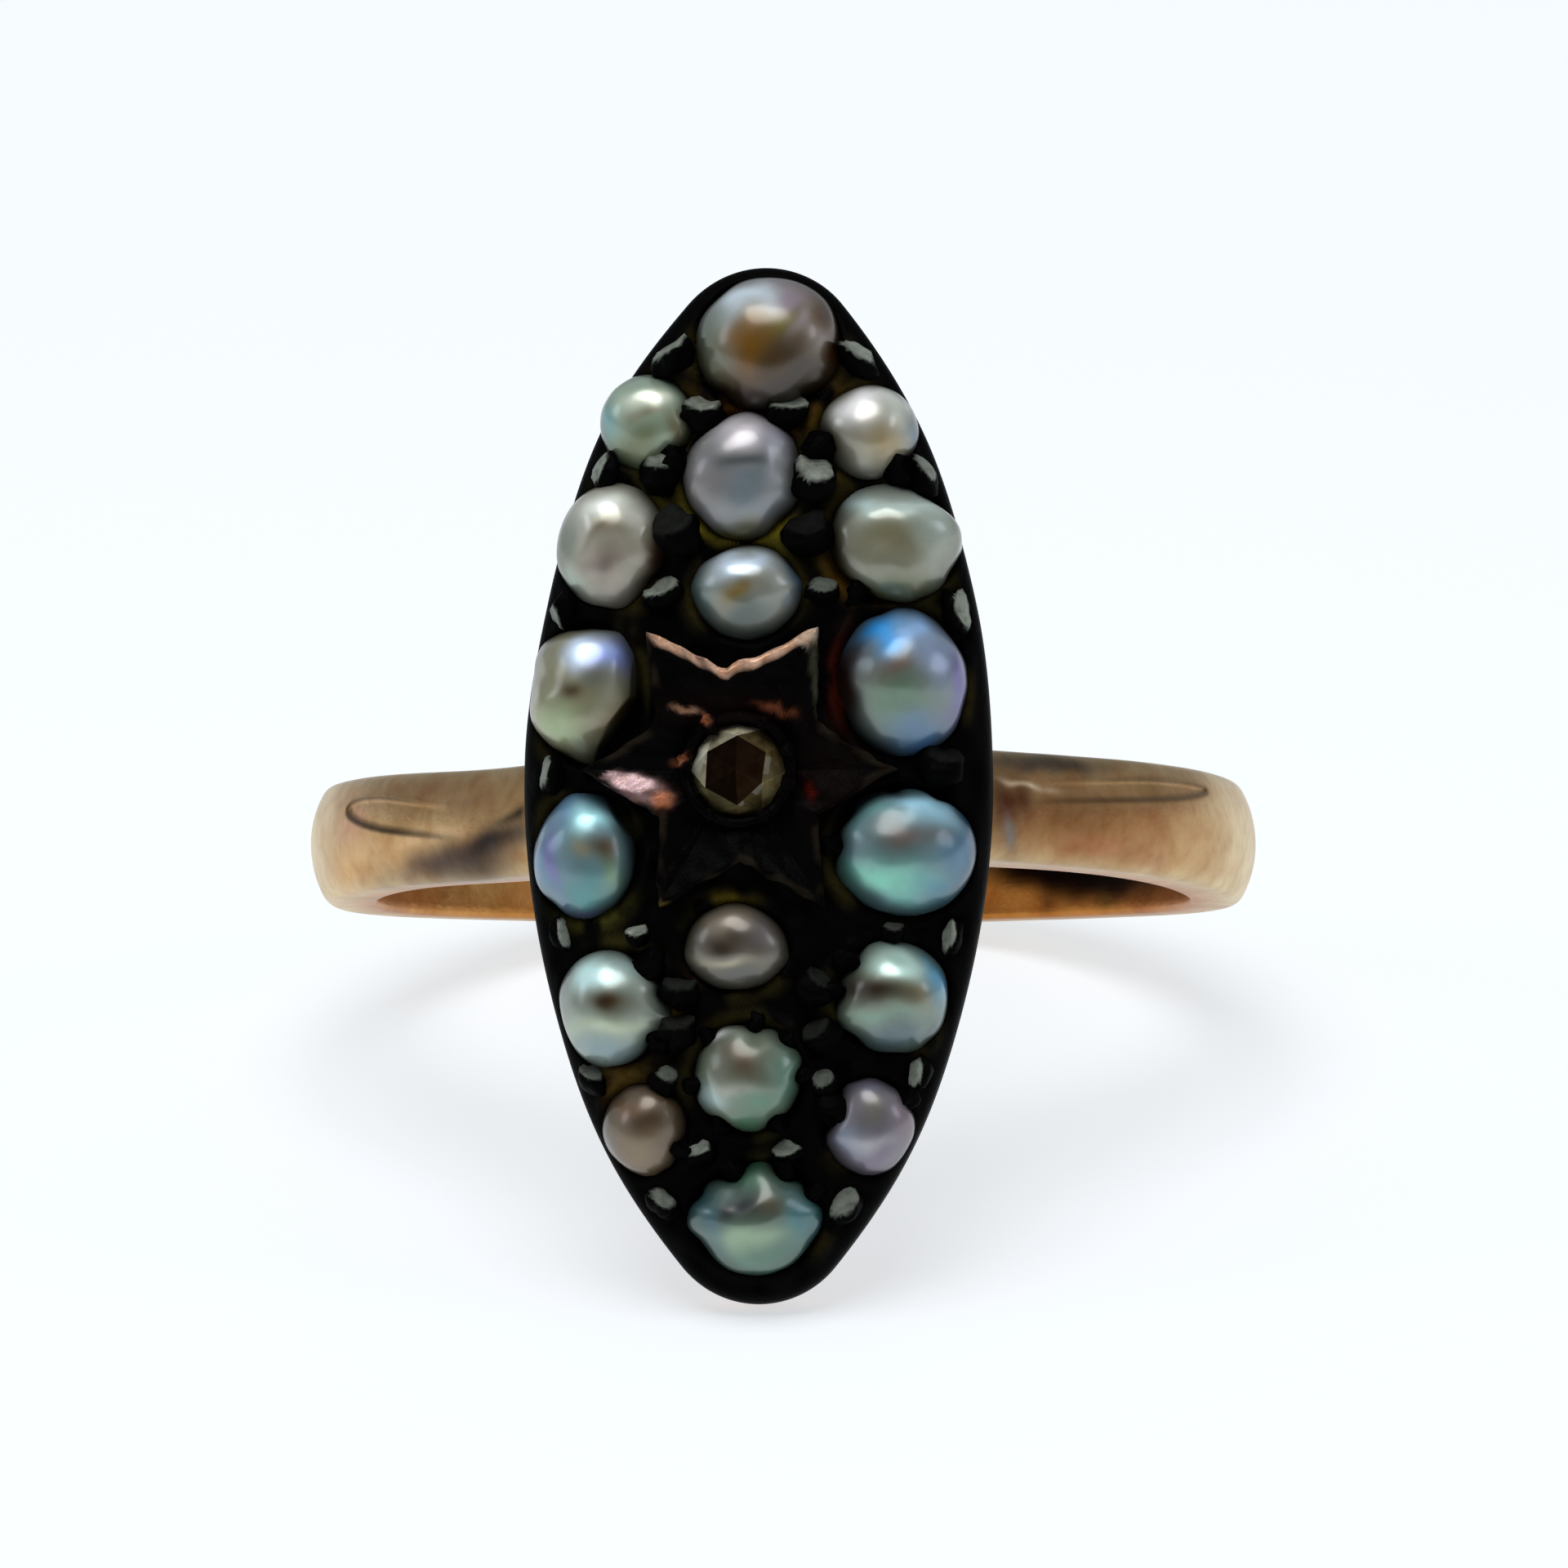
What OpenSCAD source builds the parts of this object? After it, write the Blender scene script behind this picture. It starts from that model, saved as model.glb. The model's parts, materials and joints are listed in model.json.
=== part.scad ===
// A navette ring: a rose gold band and back plate, a blackened silver navette paved with
// half pearls, and a gold star with a rose-cut stone at its middle.
// The middle of the finger hole is the origin. The ring lies on its side on a table, as it
// rests by itself: on the lower tip of its head and on the back of its band.
// Each sub-part is drawn in the ring's own frame, X across the finger, Y along the finger
// and Z out through the head, and then laid down by lying().

/* [Finger hole and band] */
// Diameter of the finger hole
finger_d = 17.2; // [15:0.1:20]
// Thickness of the band at the crown of its D section
band_t = 1.4; // [1.2:0.05:2]
// Width of the band along the finger
band_w = 2.3; // [1.8:0.05:3.2]
// Radius of the band's domed outside, across its width
band_crown_r = 1.9; // [1.7:0.05:4]
// Radius on the band's outer edges
band_edge_r = 0.35; // [0.2:0.05:0.5]

/* [Shoulders] */
// Angle from the head's middle at which the round band turns into a straight shoulder
shoulder_a = 48; // [42:1:52]
// Angle from the head's middle at which the filed hollow is deepest
hollow_a = 53; // [50:1:58]
// Depth of the filed hollow
hollow_depth = 0.16; // [0.05:0.01:0.3]
// Radius of the file that cut the hollow
hollow_r = 0.8; // [0.5:0.1:1.6]
// Distance of the hollow from the middle of the band, along the finger
hollow_rise = 0.25; // [0:0.05:0.5]

/* [Gold back plate] */
// Height of the back plate's underside above the band's thinnest outside
back_lift = -0.3; // [-0.6:0.05:0.2]
// Thickness of the back plate
back_t = 0.6; // [0.4:0.05:1.2]
// Radius on the back plate's lower edge
back_edge_r = 0.2; // [0.1:0.05:0.4]
// Inset of the back plate from the silver plate's outline
back_inset = 0.04; // [0:0.01:0.3]

/* [Silver navette] */
// Length of the head along the finger
head_l = 21.5; // [18:0.1:26]
// Width of the head across the finger
head_w = 9.7; // [8:0.1:12]
// Radius of the head's rounded tips, seen from above
tip_r = 1.9; // [1.4:0.05:2.6]
// Step by which a tip's rounding lies inside the long sides where they meet
tip_step = 0.01; // [0.005:0.005:0.02]
// Distance of the head's middle above the band's middle, along the finger
head_rise = 0.4; // [0:0.05:0.8]
// Thickness of the silver plate at its middle
silver_t = 1.6; // [1.4:0.05:2.4]
// Radius of the bombé top across the finger
bombe_across_r = 13.5; // [12:0.5:30]
// Radius of the bombé top along the finger
bombe_along_r = 58; // [50:1:120]
// Radius on the silver rim's upper edge
rim_r = 0.35; // [0.15:0.05:0.5]
// Angle through which the rim's rounding turns before it meets the bombé top
rim_a = 70; // [60:1:80]
// Solder gap between the gold back plate and the silver
solder_gap = 0.03; // [0.02:0.01:0.1]

/* [Pearls and grains] */
// Depth of the pearls' seats below the silver's surface
seat_depth = 0.3; // [0.15:0.05:0.4]
// Clearance round each pearl in its seat
seat_gap = 0.03; // [0.02:0.01:0.08]
// Share of a lobe's radius below which a pearl's two lobes are one
lobe_share = 0.05; // [0.01:0.01:0.1]
// Radius of a full-sized grain
grain_r = 0.34; // [0.2:0.02:0.45]
// Share of its radius by which a grain's middle stands above the silver
grain_stand = 0.15; // [0:0.05:0.4]

/* [Star and stone] */
// Distance of the star's points from its middle
star_r = 3.3; // [2.8:0.1:3.6]
// Distance of the star's middle from the head's middle, to the right
star_x = -0.35; // [-0.6:0.05:0.6]
// Distance of the star's middle from the head's middle, towards the upper tip
star_y = 0.2; // [-0.6:0.05:0.6]
// Thickness of the star
star_t = 0.95; // [0.8:0.05:1.3]
// Height by which the star stands above the silver's crown
star_proud = 0.35; // [0.2:0.05:0.6]
// Width of the star's raised rim
star_rim = 0.14; // [0.1:0.02:0.3]
// Depth of the V-cut rays at the star's middle
star_cut = 0.6; // [0.3:0.05:0.7]
// Diameter of the stone at its girdle
stone_d = 1.95; // [1.6:0.05:2.3]
// Depth of the stone's seat below the star's rim
stone_seat = 0.52; // [0.4:0.02:0.65]
// Height of the stone above its girdle
stone_crown = 0.42; // [0.3:0.02:0.6]
// Thickness of the stone's girdle
stone_girdle = 0.15; // [0.1:0.01:0.25]
// Share of the stone's diameter that its table takes
table_share = 0.6; // [0.4:0.05:0.7]
// Clearance round the stone
stone_gap = 0.03; // [0.02:0.01:0.06]
// Wall of the collet round the stone
collet_wall = 0.22; // [0.15:0.01:0.35]
// Radius of the grains that hold the stone
claw_r = 0.17; // [0.12:0.01:0.22]

/* [Hidden] */
$fn = 72;
FINE = 180;
STAR_RAYS = 6;
STONE_CLAWS = 6;
TABLE_SIDES = 6;

finger_r = finger_d / 2;
band_r = finger_r + band_t;
half_l = head_l / 2;
half_w = head_w / 2;
back_z = band_r + back_lift;
silver_z = back_z + back_t + solder_gap;
crown_z = silver_z + silver_t;
star_z = crown_z + star_proud - star_t;
stone_r = stone_d / 2;
stone_floor = star_t - stone_seat;
collet_r = stone_r + stone_gap + collet_wall;
// A length that reaches past the whole band, for blocks that are cut back
past_band = 2 * band_r;

// Middle of the rounding on the band's edge, as distance from the finger hole's middle
edge_reach = band_r - band_crown_r
    + sqrt(pow(band_crown_r - band_edge_r, 2) - pow(band_w / 2 - band_edge_r, 2));

// The ring lies on two edge roundings: the tip of the back plate and the back of the band
tip_fall = half_l - back_inset - back_edge_r - head_rise;
rest_run = back_z + back_edge_r + edge_reach;
rest_fall = tip_fall - (band_w / 2 - band_edge_r);
lean = atan2(rest_fall, rest_run)
    + asin((back_edge_r - band_edge_r) / norm([rest_run, rest_fall]));

// Columns of the tables of pearls and grains. The two places are shares of the head's half
// width and half length.
ACROSS = 0;
ALONG = 1;

// One row for each half pearl, from the upper tip down: place across and along, then width
// and height, as shares of the head's half width and half length
WIDE = 2;
HIGH = 3;
PEARLS = [
    [0.03, 0.845, 0.55, 0.265],
    [-0.47, 0.695, 0.37, 0.19],
    [0.49, 0.675, 0.42, 0.18],
    [-0.06, 0.59, 0.47, 0.235],
    [-0.63, 0.45, 0.44, 0.235],
    [0.59, 0.46, 0.55, 0.225],
    [-0.04, 0.365, 0.46, 0.185],
    [-0.735, 0.17, 0.46, 0.255],
    [0.635, 0.195, 0.56, 0.27],
    [-0.73, -0.14, 0.42, 0.24],
    [0.665, -0.135, 0.6, 0.24],
    [-0.065, -0.32, 0.44, 0.17],
    [-0.61, -0.43, 0.47, 0.225],
    [0.59, -0.415, 0.48, 0.21],
    [-0.035, -0.57, 0.44, 0.205],
    [-0.485, -0.665, 0.35, 0.18],
    [0.485, -0.665, 0.38, 0.19],
    [0, -0.835, 0.56, 0.215],
];

// One row for each grain: place across and along, and size as a share of a full-sized grain
SIZE = 2;
GRAINS = [
    [-0.35, 0.825, 0.8],
    [0.4, 0.825, 0.8],
    [-0.23, 0.71, 1],
    [0.13, 0.715, 1],
    [-0.65, 0.605, 0.7],
    [-0.41, 0.595, 1],
    [0.25, 0.58, 1.25],
    [0.69, 0.59, 0.7],
    [-0.34, 0.48, 1.25],
    [0.22, 0.475, 1.2],
    [-0.39, 0.36, 0.9],
    [0.29, 0.365, 0.8],
    [-0.82, 0.335, 0.7],
    [0.85, 0.33, 0.75],
    [-0.87, 0.015, 0.9],
    [0.78, 0.03, 1.3],
    [-0.83, -0.29, 0.75],
    [0.83, -0.3, 0.75],
    [-0.5, -0.295, 0.7],
    [0.58, -0.29, 0.7],
    [-0.32, -0.405, 1],
    [0.25, -0.4, 1],
    [-0.33, -0.48, 1],
    [0.28, -0.49, 1],
    [-0.7, -0.57, 0.7],
    [-0.39, -0.575, 0.9],
    [0.29, -0.58, 0.9],
    [0.69, -0.56, 0.75],
    [-0.24, -0.715, 0.85],
    [0.13, -0.715, 0.85],
    [-0.39, -0.81, 0.75],
    [0.37, -0.815, 0.75],
];

// A pearl's node name has its row's number in two digits
function pearl_name(i) = str("pearl_", i < 9 ? "0" : "", i + 1);

// Points of an arc round a middle, from one angle to another
function arc(middle, r, from, to, steps = 8) =
    [for (i = [0:steps])
        let (angle = from + (to - from) * i / steps)
        middle + r * [cos(angle), sin(angle)]];

// Points of the plane lifted to a height
function lifted(points, z) = [for (p = points) [p[0], p[1], z]];

// Corners of a regular polygon, the first turned from the X axis by an angle
function ring_of(n, r, turned = 0) =
    [for (i = [0:n - 1]) r * [cos(turned + 360 * i / n), sin(turned + 360 * i / n)]];

// Corners of a star whose edges lie on two equal triangles, its points and valleys in turn
function star_points(r) =
    [for (i = [0:STAR_RAYS - 1])
        each [ring_of(STAR_RAYS, r)[i], ring_of(STAR_RAYS, r / sqrt(3), 180 / STAR_RAYS)[i]]];

// Height of the silver's bombé top at a place on the head
function top_z(x, y) =
    crown_z - bombe_along_r
    + sqrt(pow(bombe_along_r - bombe_across_r + sqrt(pow(bombe_across_r, 2) - x * x), 2) - y * y);

// Section of the band: distance from the finger hole's middle, and place along the finger
function band_section(inner) =
    let (corner = band_w / 2 - band_edge_r)
    let (turn = atan2(corner, edge_reach - band_r + band_crown_r))
    concat(
        [[inner, -band_w / 2]],
        arc([edge_reach, -corner], band_edge_r, -90, -turn),
        arc([band_r - band_crown_r, 0], band_crown_r, -turn, turn, 12),
        arc([edge_reach, corner], band_edge_r, turn, 90),
        [[inner, band_w / 2]]);

// Section of a plate out to its edge: what is drawn as distance inside the outline and
// height, for an outline that lies at a distance from the axis
function plate_section(reach, edge) =
    concat(
        [[0, edge[0][1]]],
        [for (p = edge) [reach - p[0], p[1]]],
        [[0, edge[len(edge) - 1][1]]]);

// Lays what is drawn in the ring's own frame down on the table
module lying() {
    rotate([90 - lean, 0, 0])
        children();
}

// Puts what is drawn at the origin on the silver's bombé top, square to it
module on_top(across, along) {
    x = across * half_w;
    y = along * half_l;
    tip_over = asin(y / (bombe_along_r - bombe_across_r + sqrt(pow(bombe_across_r, 2) - x * x)));
    translate([x, y, top_z(x, y)])
        rotate([-tip_over, asin(x / bombe_across_r), 0])
            children();
}

// A plate with a navette outline of four arcs. Its edge is given as points of distance
// inside the outline and height, from the bottom up. Each tip is a whole disc that lies a
// fine step inside the long sides, so that the two overlap.
module navette(inset, edge) {
    w = half_w - inset;
    l = half_l - inset;
    r = tip_r - inset;
    tip_middle = l - r;
    side_r = (w * w + tip_middle * tip_middle - r * r) / (2 * (w - r));
    turn = atan2(tip_middle, side_r - w);
    far_x = side_r * cos(turn);
    far_y = tip_middle + side_r * sin(turn);
    low = edge[0][1];
    high = edge[len(edge) - 1][1];
    intersection() {
        side_disc(side_r, w, edge, 1);
        side_disc(side_r, w, edge, -1);
        translate([0, 0, low])
            linear_extrude(high - low)
                polygon([
                    [0, tip_middle],
                    [far_x, far_y],
                    [far_x, -far_y],
                    [0, -tip_middle],
                    [-far_x, -far_y],
                    [-far_x, far_y],
                ]);
    }
    for (end = [-tip_middle, tip_middle])
        translate([0, end, 0])
            rotate_extrude()
                polygon(plate_section(r - tip_step, edge));
}

// The large disc whose edge is one long side of the navette
module side_disc(side_r, w, edge, side) {
    translate([side * (w - side_r), 0, 0])
        rotate_extrude($fn = FINE)
            polygon(plate_section(side_r, edge));
}

// The straight shoulder's block on one side, with the band's domed outside carried on
module shoulder_block(side) {
    rotate([0, side * shoulder_a - 90, 0])
        linear_extrude(2 * past_band, center = true)
            polygon(band_section(-band_r));
}

// Both shoulders and the band's stretch under the head
module shoulders() {
    edge_x = past_band * sin(shoulder_a);
    edge_z = past_band * cos(shoulder_a);
    difference() {
        intersection() {
            shoulder_block(1);
            shoulder_block(-1);
            rotate([90, 0, 0])
                linear_extrude(band_w, center = true)
                    intersection() {
                        polygon([[0, 0], [edge_x, edge_z], [-edge_x, edge_z]]);
                        translate([-past_band, 0])
                            square([2 * past_band, back_z + back_t / 2]);
                    }
        }
        rotate([90, 0, 0])
            cylinder(r = finger_r, h = past_band, center = true, $fn = FINE);
    }
}

// The round file that cuts the hollow on one shoulder
module hollow_file(side) {
    rotate([0, side * hollow_a, 0])
        translate([0, hollow_rise, band_r + hollow_r - hollow_depth])
            rotate([0, 90, 0])
                cylinder(r = hollow_r, h = band_r, center = true);
}

// Rose gold band, shoulders and back plate
module shank() {
    back_edge = concat(
        arc([back_edge_r, back_z + back_edge_r], back_edge_r, 270, 180),
        [[0, back_z + back_t]]);
    color([0.76, 0.6, 0.43])
        lying()
            difference() {
                union() {
                    rotate([-90, 0, 0])
                        rotate([0, 0, shoulder_a - 90])
                            rotate_extrude(angle = 360 - 2 * shoulder_a, $fn = FINE)
                                polygon(band_section(finger_r));
                    shoulders();
                    translate([0, head_rise, 0])
                        navette(back_inset, back_edge);
                }
                hollow_file(1);
                hollow_file(-1);
            }
}

// A half pearl of two lobes, with its flat back sunk to the floor of its seat. A gap round
// it makes the seat that it lies in.
module half_pearl(row, gap) {
    w = row[WIDE] * half_w;
    h = row[HIGH] * half_l;
    r = min(w, h) / 2;
    apart = max(w, h) / 2 - r;
    way = w > h ? [1, 0, 0] : [0, 1, 0];
    lobes = apart > lobe_share * r ? [-apart, apart] : [0];
    on_top(row[ACROSS], row[ALONG])
        intersection() {
            translate([0, 0, -seat_depth])
                for (shift = lobes)
                    translate(shift * way)
                        sphere(r + gap);
            translate([0, 0, w + h - seat_depth - gap])
                cube(2 * (w + h), center = true);
        }
}

// The body whose upper skin is the bombé top
module bombe() {
    translate([0, 0, crown_z - bombe_along_r])
        rotate([0, 90, 0])
            rotate_extrude($fn = FINE)
                translate([bombe_along_r - bombe_across_r, 0])
                    circle(bombe_across_r, $fn = FINE);
}

// Blackened silver navette with its rounded rim, the grains, and the seats of the pearls
// and of the star
module head() {
    side_z = top_z(half_w, 0);
    rim_edge = concat(
        [[0, silver_z]],
        arc([rim_r, side_z - rim_r], rim_r, 180, 180 - rim_a),
        [[rim_r, crown_z]]);
    color([0.16, 0.16, 0.17])
        lying()
            translate([0, head_rise, 0])
                difference() {
                    union() {
                        intersection() {
                            navette(0, rim_edge);
                            bombe();
                        }
                        for (row = GRAINS)
                            on_top(row[ACROSS], row[ALONG])
                                translate([0, 0, row[SIZE] * grain_r * grain_stand])
                                    sphere(row[SIZE] * grain_r);
                    }
                    for (row = PEARLS)
                        half_pearl(row, seat_gap);
                    translate([star_x, star_y, star_z - solder_gap])
                        linear_extrude(2 * star_t)
                            polygon(star_points(star_r + 2 * solder_gap));
                }
}

// A star prism whose top is cut by facets that fall from the rim to its middle
module star_body() {
    outline = star_points(star_r);
    inside = star_points(star_r - 2 * star_rim);
    n = len(outline);
    cut_middle = 3 * n;
    back_middle = 3 * n + 1;
    polyhedron(
        points = concat(
            lifted(outline, 0),
            lifted(outline, star_t),
            lifted(inside, star_t),
            [[0, 0, star_t - star_cut], [0, 0, 0]]),
        faces = concat(
            [for (i = [0:n - 1]) [i, n + i, n + (i + 1) % n, (i + 1) % n]],
            [for (i = [0:n - 1]) [n + i, 2 * n + i, 2 * n + (i + 1) % n, n + (i + 1) % n]],
            [for (i = [0:n - 1]) [2 * n + i, cut_middle, 2 * n + (i + 1) % n]],
            [for (i = [0:n - 1]) [i, (i + 1) % n, back_middle]]));
}

// Gold star with the collet of the stone and the grains that hold the stone
module star() {
    color([0.8, 0.58, 0.44])
        lying()
            translate([star_x, head_rise + star_y, star_z])
                difference() {
                    union() {
                        star_body();
                        cylinder(r = collet_r, h = star_t);
                        for (p = ring_of(STONE_CLAWS, stone_r + claw_r / 2, 180 / STONE_CLAWS))
                            translate([p[0], p[1], star_t])
                                sphere(claw_r);
                    }
                    translate([0, 0, stone_floor])
                        cylinder(r = stone_r + stone_gap, h = star_t);
                }
}

// A rose-cut stone: a girdle, a crown of three facets for each side of the table, and the
// table
module rose_cut_stone() {
    n = 2 * TABLE_SIDES;
    girdle = ring_of(n, stone_r);
    table = ring_of(TABLE_SIDES, table_share * stone_r, 180 / TABLE_SIDES);
    color([0.62, 0.56, 0.42])
        lying()
            translate([star_x, head_rise + star_y, star_z + stone_floor + stone_gap])
                polyhedron(
                    points = concat(
                        lifted(girdle, 0),
                        lifted(girdle, stone_girdle),
                        lifted(table, stone_girdle + stone_crown)),
                    faces = concat(
                        [[for (i = [0:n - 1]) i]],
                        [for (i = [0:n - 1]) [i, n + i, n + (i + 1) % n, (i + 1) % n]],
                        [for (i = [0:TABLE_SIDES - 1])
                            each [
                                [n + 2 * i, 2 * n + i, n + 2 * i + 1],
                                [n + 2 * i + 1, 2 * n + i, n + (2 * i + 2) % n],
                                [n + (2 * i + 2) % n, 2 * n + i, 2 * n + (i + 1) % TABLE_SIDES],
                            ]],
                        [[for (i = [TABLE_SIDES - 1:-1:0]) 2 * n + i]]));
}

// The half pearl of one row of the table
module pearl(i) {
    color([0.78, 0.8, 0.76])
        lying()
            translate([0, head_rise, 0])
                half_pearl(PEARLS[i], 0);
}

shank();
head();
star();
rose_cut_stone();
for (i = [0:len(PEARLS) - 1])
    pearl(i);
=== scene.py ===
"""The looks of a navette ring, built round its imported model.

Shapes are worked out in millimetres in the ring's own frame, X across the finger, Y along the
finger and Z out through the head. They are then laid down on the table as the model lies.
Colours in the tables are as the eye sees them on a screen, from 0 to 1.
"""

from __future__ import annotations

import json
import logging
import math
from dataclasses import dataclass, field
from enum import Enum

import bpy
import numpy as np
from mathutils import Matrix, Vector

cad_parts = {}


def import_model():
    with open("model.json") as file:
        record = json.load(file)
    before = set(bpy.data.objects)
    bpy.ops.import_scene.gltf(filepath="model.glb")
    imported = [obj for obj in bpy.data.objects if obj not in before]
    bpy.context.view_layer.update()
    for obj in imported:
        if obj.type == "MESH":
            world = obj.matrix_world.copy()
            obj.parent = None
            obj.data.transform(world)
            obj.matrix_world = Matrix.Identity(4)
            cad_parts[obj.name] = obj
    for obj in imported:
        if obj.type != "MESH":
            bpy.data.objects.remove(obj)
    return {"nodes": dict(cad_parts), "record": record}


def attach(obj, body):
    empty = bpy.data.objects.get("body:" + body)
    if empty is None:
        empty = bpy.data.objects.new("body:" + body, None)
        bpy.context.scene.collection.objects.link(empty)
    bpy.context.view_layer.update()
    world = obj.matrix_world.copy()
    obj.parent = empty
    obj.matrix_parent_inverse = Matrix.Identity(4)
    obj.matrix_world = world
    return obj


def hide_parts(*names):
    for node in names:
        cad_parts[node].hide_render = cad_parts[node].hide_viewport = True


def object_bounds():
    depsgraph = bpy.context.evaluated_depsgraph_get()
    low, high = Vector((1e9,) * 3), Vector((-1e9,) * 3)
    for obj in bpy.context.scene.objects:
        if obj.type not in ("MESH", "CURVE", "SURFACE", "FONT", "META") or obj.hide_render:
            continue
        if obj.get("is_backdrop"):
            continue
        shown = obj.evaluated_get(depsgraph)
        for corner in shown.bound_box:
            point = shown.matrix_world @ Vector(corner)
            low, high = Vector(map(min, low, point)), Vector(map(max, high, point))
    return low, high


LOG = logging.getLogger("navette_ring")
MM = 0.001
BODY = "root"
Colour = tuple[float, float, float]


class Slot(Enum):
    """The record's material slots."""

    ROSE_GOLD = "rose_gold"
    BLACKENED_SILVER = "blackened_silver"
    STAR_GOLD = "star_gold"
    ROSE_CUT = "rose_cut"
    NACRE = "nacre"


class Side(Enum):
    """The two shoulders of the band, as the sign of their place across the finger."""

    LEFT = -1
    RIGHT = 1


def smooth_step(low: float, high: float, value: np.ndarray) -> np.ndarray:
    """Rises from 0 at low to 1 at high as 3t^2 - 2t^3.

    Args:
        low: Value at which the step starts.
        high: Value at which the step ends, which may be less than low.
        value: Values to look up.

    Returns:
        The step's height at each value.
    """
    t = np.clip((value - low) / (high - low), 0.0, 1.0)
    return t * t * (3 - 2 * t)


def bell(distance: np.ndarray, width: float) -> np.ndarray:
    """A bell curve of the distance, 1 in its middle: exp(-(distance / width)^2)."""
    return np.exp(-((distance / width) ** 2))


def ripple(points: np.ndarray, length: float, seed: int, waves: int = 14) -> np.ndarray:
    """A smooth random value, mostly within -1 to 1, at each point.

    It is a sum of cosine waves that run in seeded directions, with lengths spread round one
    length, divided by the root of half their number.

    Args:
        points: Places, three numbers each.
        length: Typical length of the waves, in the units of the places.
        seed: Seed of the directions, lengths and phases.
        waves: Number of waves.

    Returns:
        One value for each point.
    """
    rng = np.random.default_rng(seed)
    ways = rng.normal(size=(waves, 3))
    ways /= np.linalg.norm(ways, axis=1, keepdims=True)
    lengths = length * rng.uniform(0.7, 1.5, (waves, 1))
    phases = rng.uniform(0, 2 * np.pi, waves)
    return np.cos(points @ (2 * np.pi * ways / lengths).T + phases).sum(-1) / math.sqrt(waves / 2)


def linear(colour: Colour) -> np.ndarray:
    """Turns a screen colour into linear light."""
    c = np.asarray(colour, float)
    return np.where(c <= 0.04045, c / 12.92, ((c + 0.055) / 1.055) ** 2.4)


def blend(skin: np.ndarray, colour: Colour, share: np.ndarray) -> np.ndarray:
    """Lays a screen colour over linear colours, as much of it as the share says."""
    share = np.asarray(share)[..., None]
    return skin * (1 - share) + linear(colour) * share


def ball(fall: np.ndarray, turn: np.ndarray) -> np.ndarray:
    """Points of the unit ball.

    Args:
        fall: Angles f from the ball's top.
        turn: Angles t round the ball.

    Returns:
        The points (sin f cos t, sin f sin t, cos f).
    """
    flat = np.sin(fall)
    return np.stack([flat * np.cos(turn), flat * np.sin(turn), np.cos(fall) + 0 * turn], -1)


def heading(angle: float) -> np.ndarray:
    """The flat direction at an angle in degrees: (cos a, sin a)."""
    return np.array([math.cos(math.radians(angle)), math.sin(math.radians(angle))])


def finger_bore(record: dict) -> dict:
    """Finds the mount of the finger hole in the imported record."""
    return next(mount for mount in record["mounts"] if mount["name"] == "finger_bore")


@dataclass(frozen=True)
class Patch:
    """A soft patch of colour on a surface, in the units in which that surface is measured.

    Its width and height are the distances from its middle at which it has faded to 1/e, turn is
    in degrees, and a larger edge makes its border crisper.
    """

    x: float
    y: float
    width: float
    height: float
    colour: Colour
    strength: float = 1.0
    turn: float = 0.0
    edge: float = 2.0

    def share(self, x: np.ndarray, y: np.ndarray) -> np.ndarray:
        """How much of the patch shows: strength times exp(-r^edge), r its own distance.

        Args:
            x: First places on the surface.
            y: Second places on the surface.

        Returns:
            The share at each place.
        """
        angle = math.radians(self.turn)
        across, along = x - self.x, y - self.y
        u = (across * math.cos(angle) + along * math.sin(angle)) / self.width
        v = (along * math.cos(angle) - across * math.sin(angle)) / self.height
        return self.strength * np.exp(-(np.hypot(u, v) ** self.edge))


def paint(
    skin: np.ndarray,
    patches: tuple[Patch, ...],
    x: np.ndarray,
    y: np.ndarray,
    mask: np.ndarray | float = 1.0,
) -> np.ndarray:
    """Lays patches over a skin's colours, one after the other.

    Args:
        skin: Linear colours, three numbers each.
        patches: The patches, the lowest first.
        x: First place of each colour on the surface.
        y: Second place of each colour on the surface.
        mask: How much of the patches each place takes.

    Returns:
        The painted colours.
    """
    for patch in patches:
        skin = blend(skin, patch.colour, patch.share(x, y) * mask)
    return skin


@dataclass(frozen=True)
class RingFrame:
    """The ring's own frame, laid down by a lean about the X axis."""

    lean_sin: float
    lean_cos: float

    @classmethod
    def from_record(cls, record: dict) -> RingFrame:
        """Reads the lean from the axis of the finger bore.

        Args:
            record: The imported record.

        Returns:
            The frame whose Y axis is the bore's axis.
        """
        axis = finger_bore(record)["axis"]
        return cls(lean_sin=axis[1], lean_cos=axis[2])

    def lay(self, points: np.ndarray) -> np.ndarray:
        """Turns points of the ring's frame into the model's frame.

        Args:
            points: Places in millimetres, three numbers each.

        Returns:
            The same places in metres.
        """
        x, y, z = np.moveaxis(np.asarray(points, float), -1, 0)
        s, c = self.lean_sin, self.lean_cos
        return np.stack([x, y * s - z * c, y * c + z * s], -1) * MM

    def stand(self, points: np.ndarray) -> np.ndarray:
        """Turns points of the model's frame into the ring's frame.

        Args:
            points: Places in metres, three numbers each.

        Returns:
            The same places in millimetres.
        """
        x, y, z = np.moveaxis(np.asarray(points, float) / MM, -1, 0)
        s, c = self.lean_sin, self.lean_cos
        return np.stack([x, y * s + z * c, z * s - y * c], -1)

    def node_points(self, node: bpy.types.Object) -> np.ndarray:
        """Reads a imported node's corners in the ring's frame.

        Args:
            node: The node's object.

        Returns:
            Its corners in millimetres, three numbers each.
        """
        flat = np.zeros(3 * len(node.data.vertices), np.float32)
        node.data.vertices.foreach_get("co", flat)
        return self.stand(flat.reshape(-1, 3))


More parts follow.
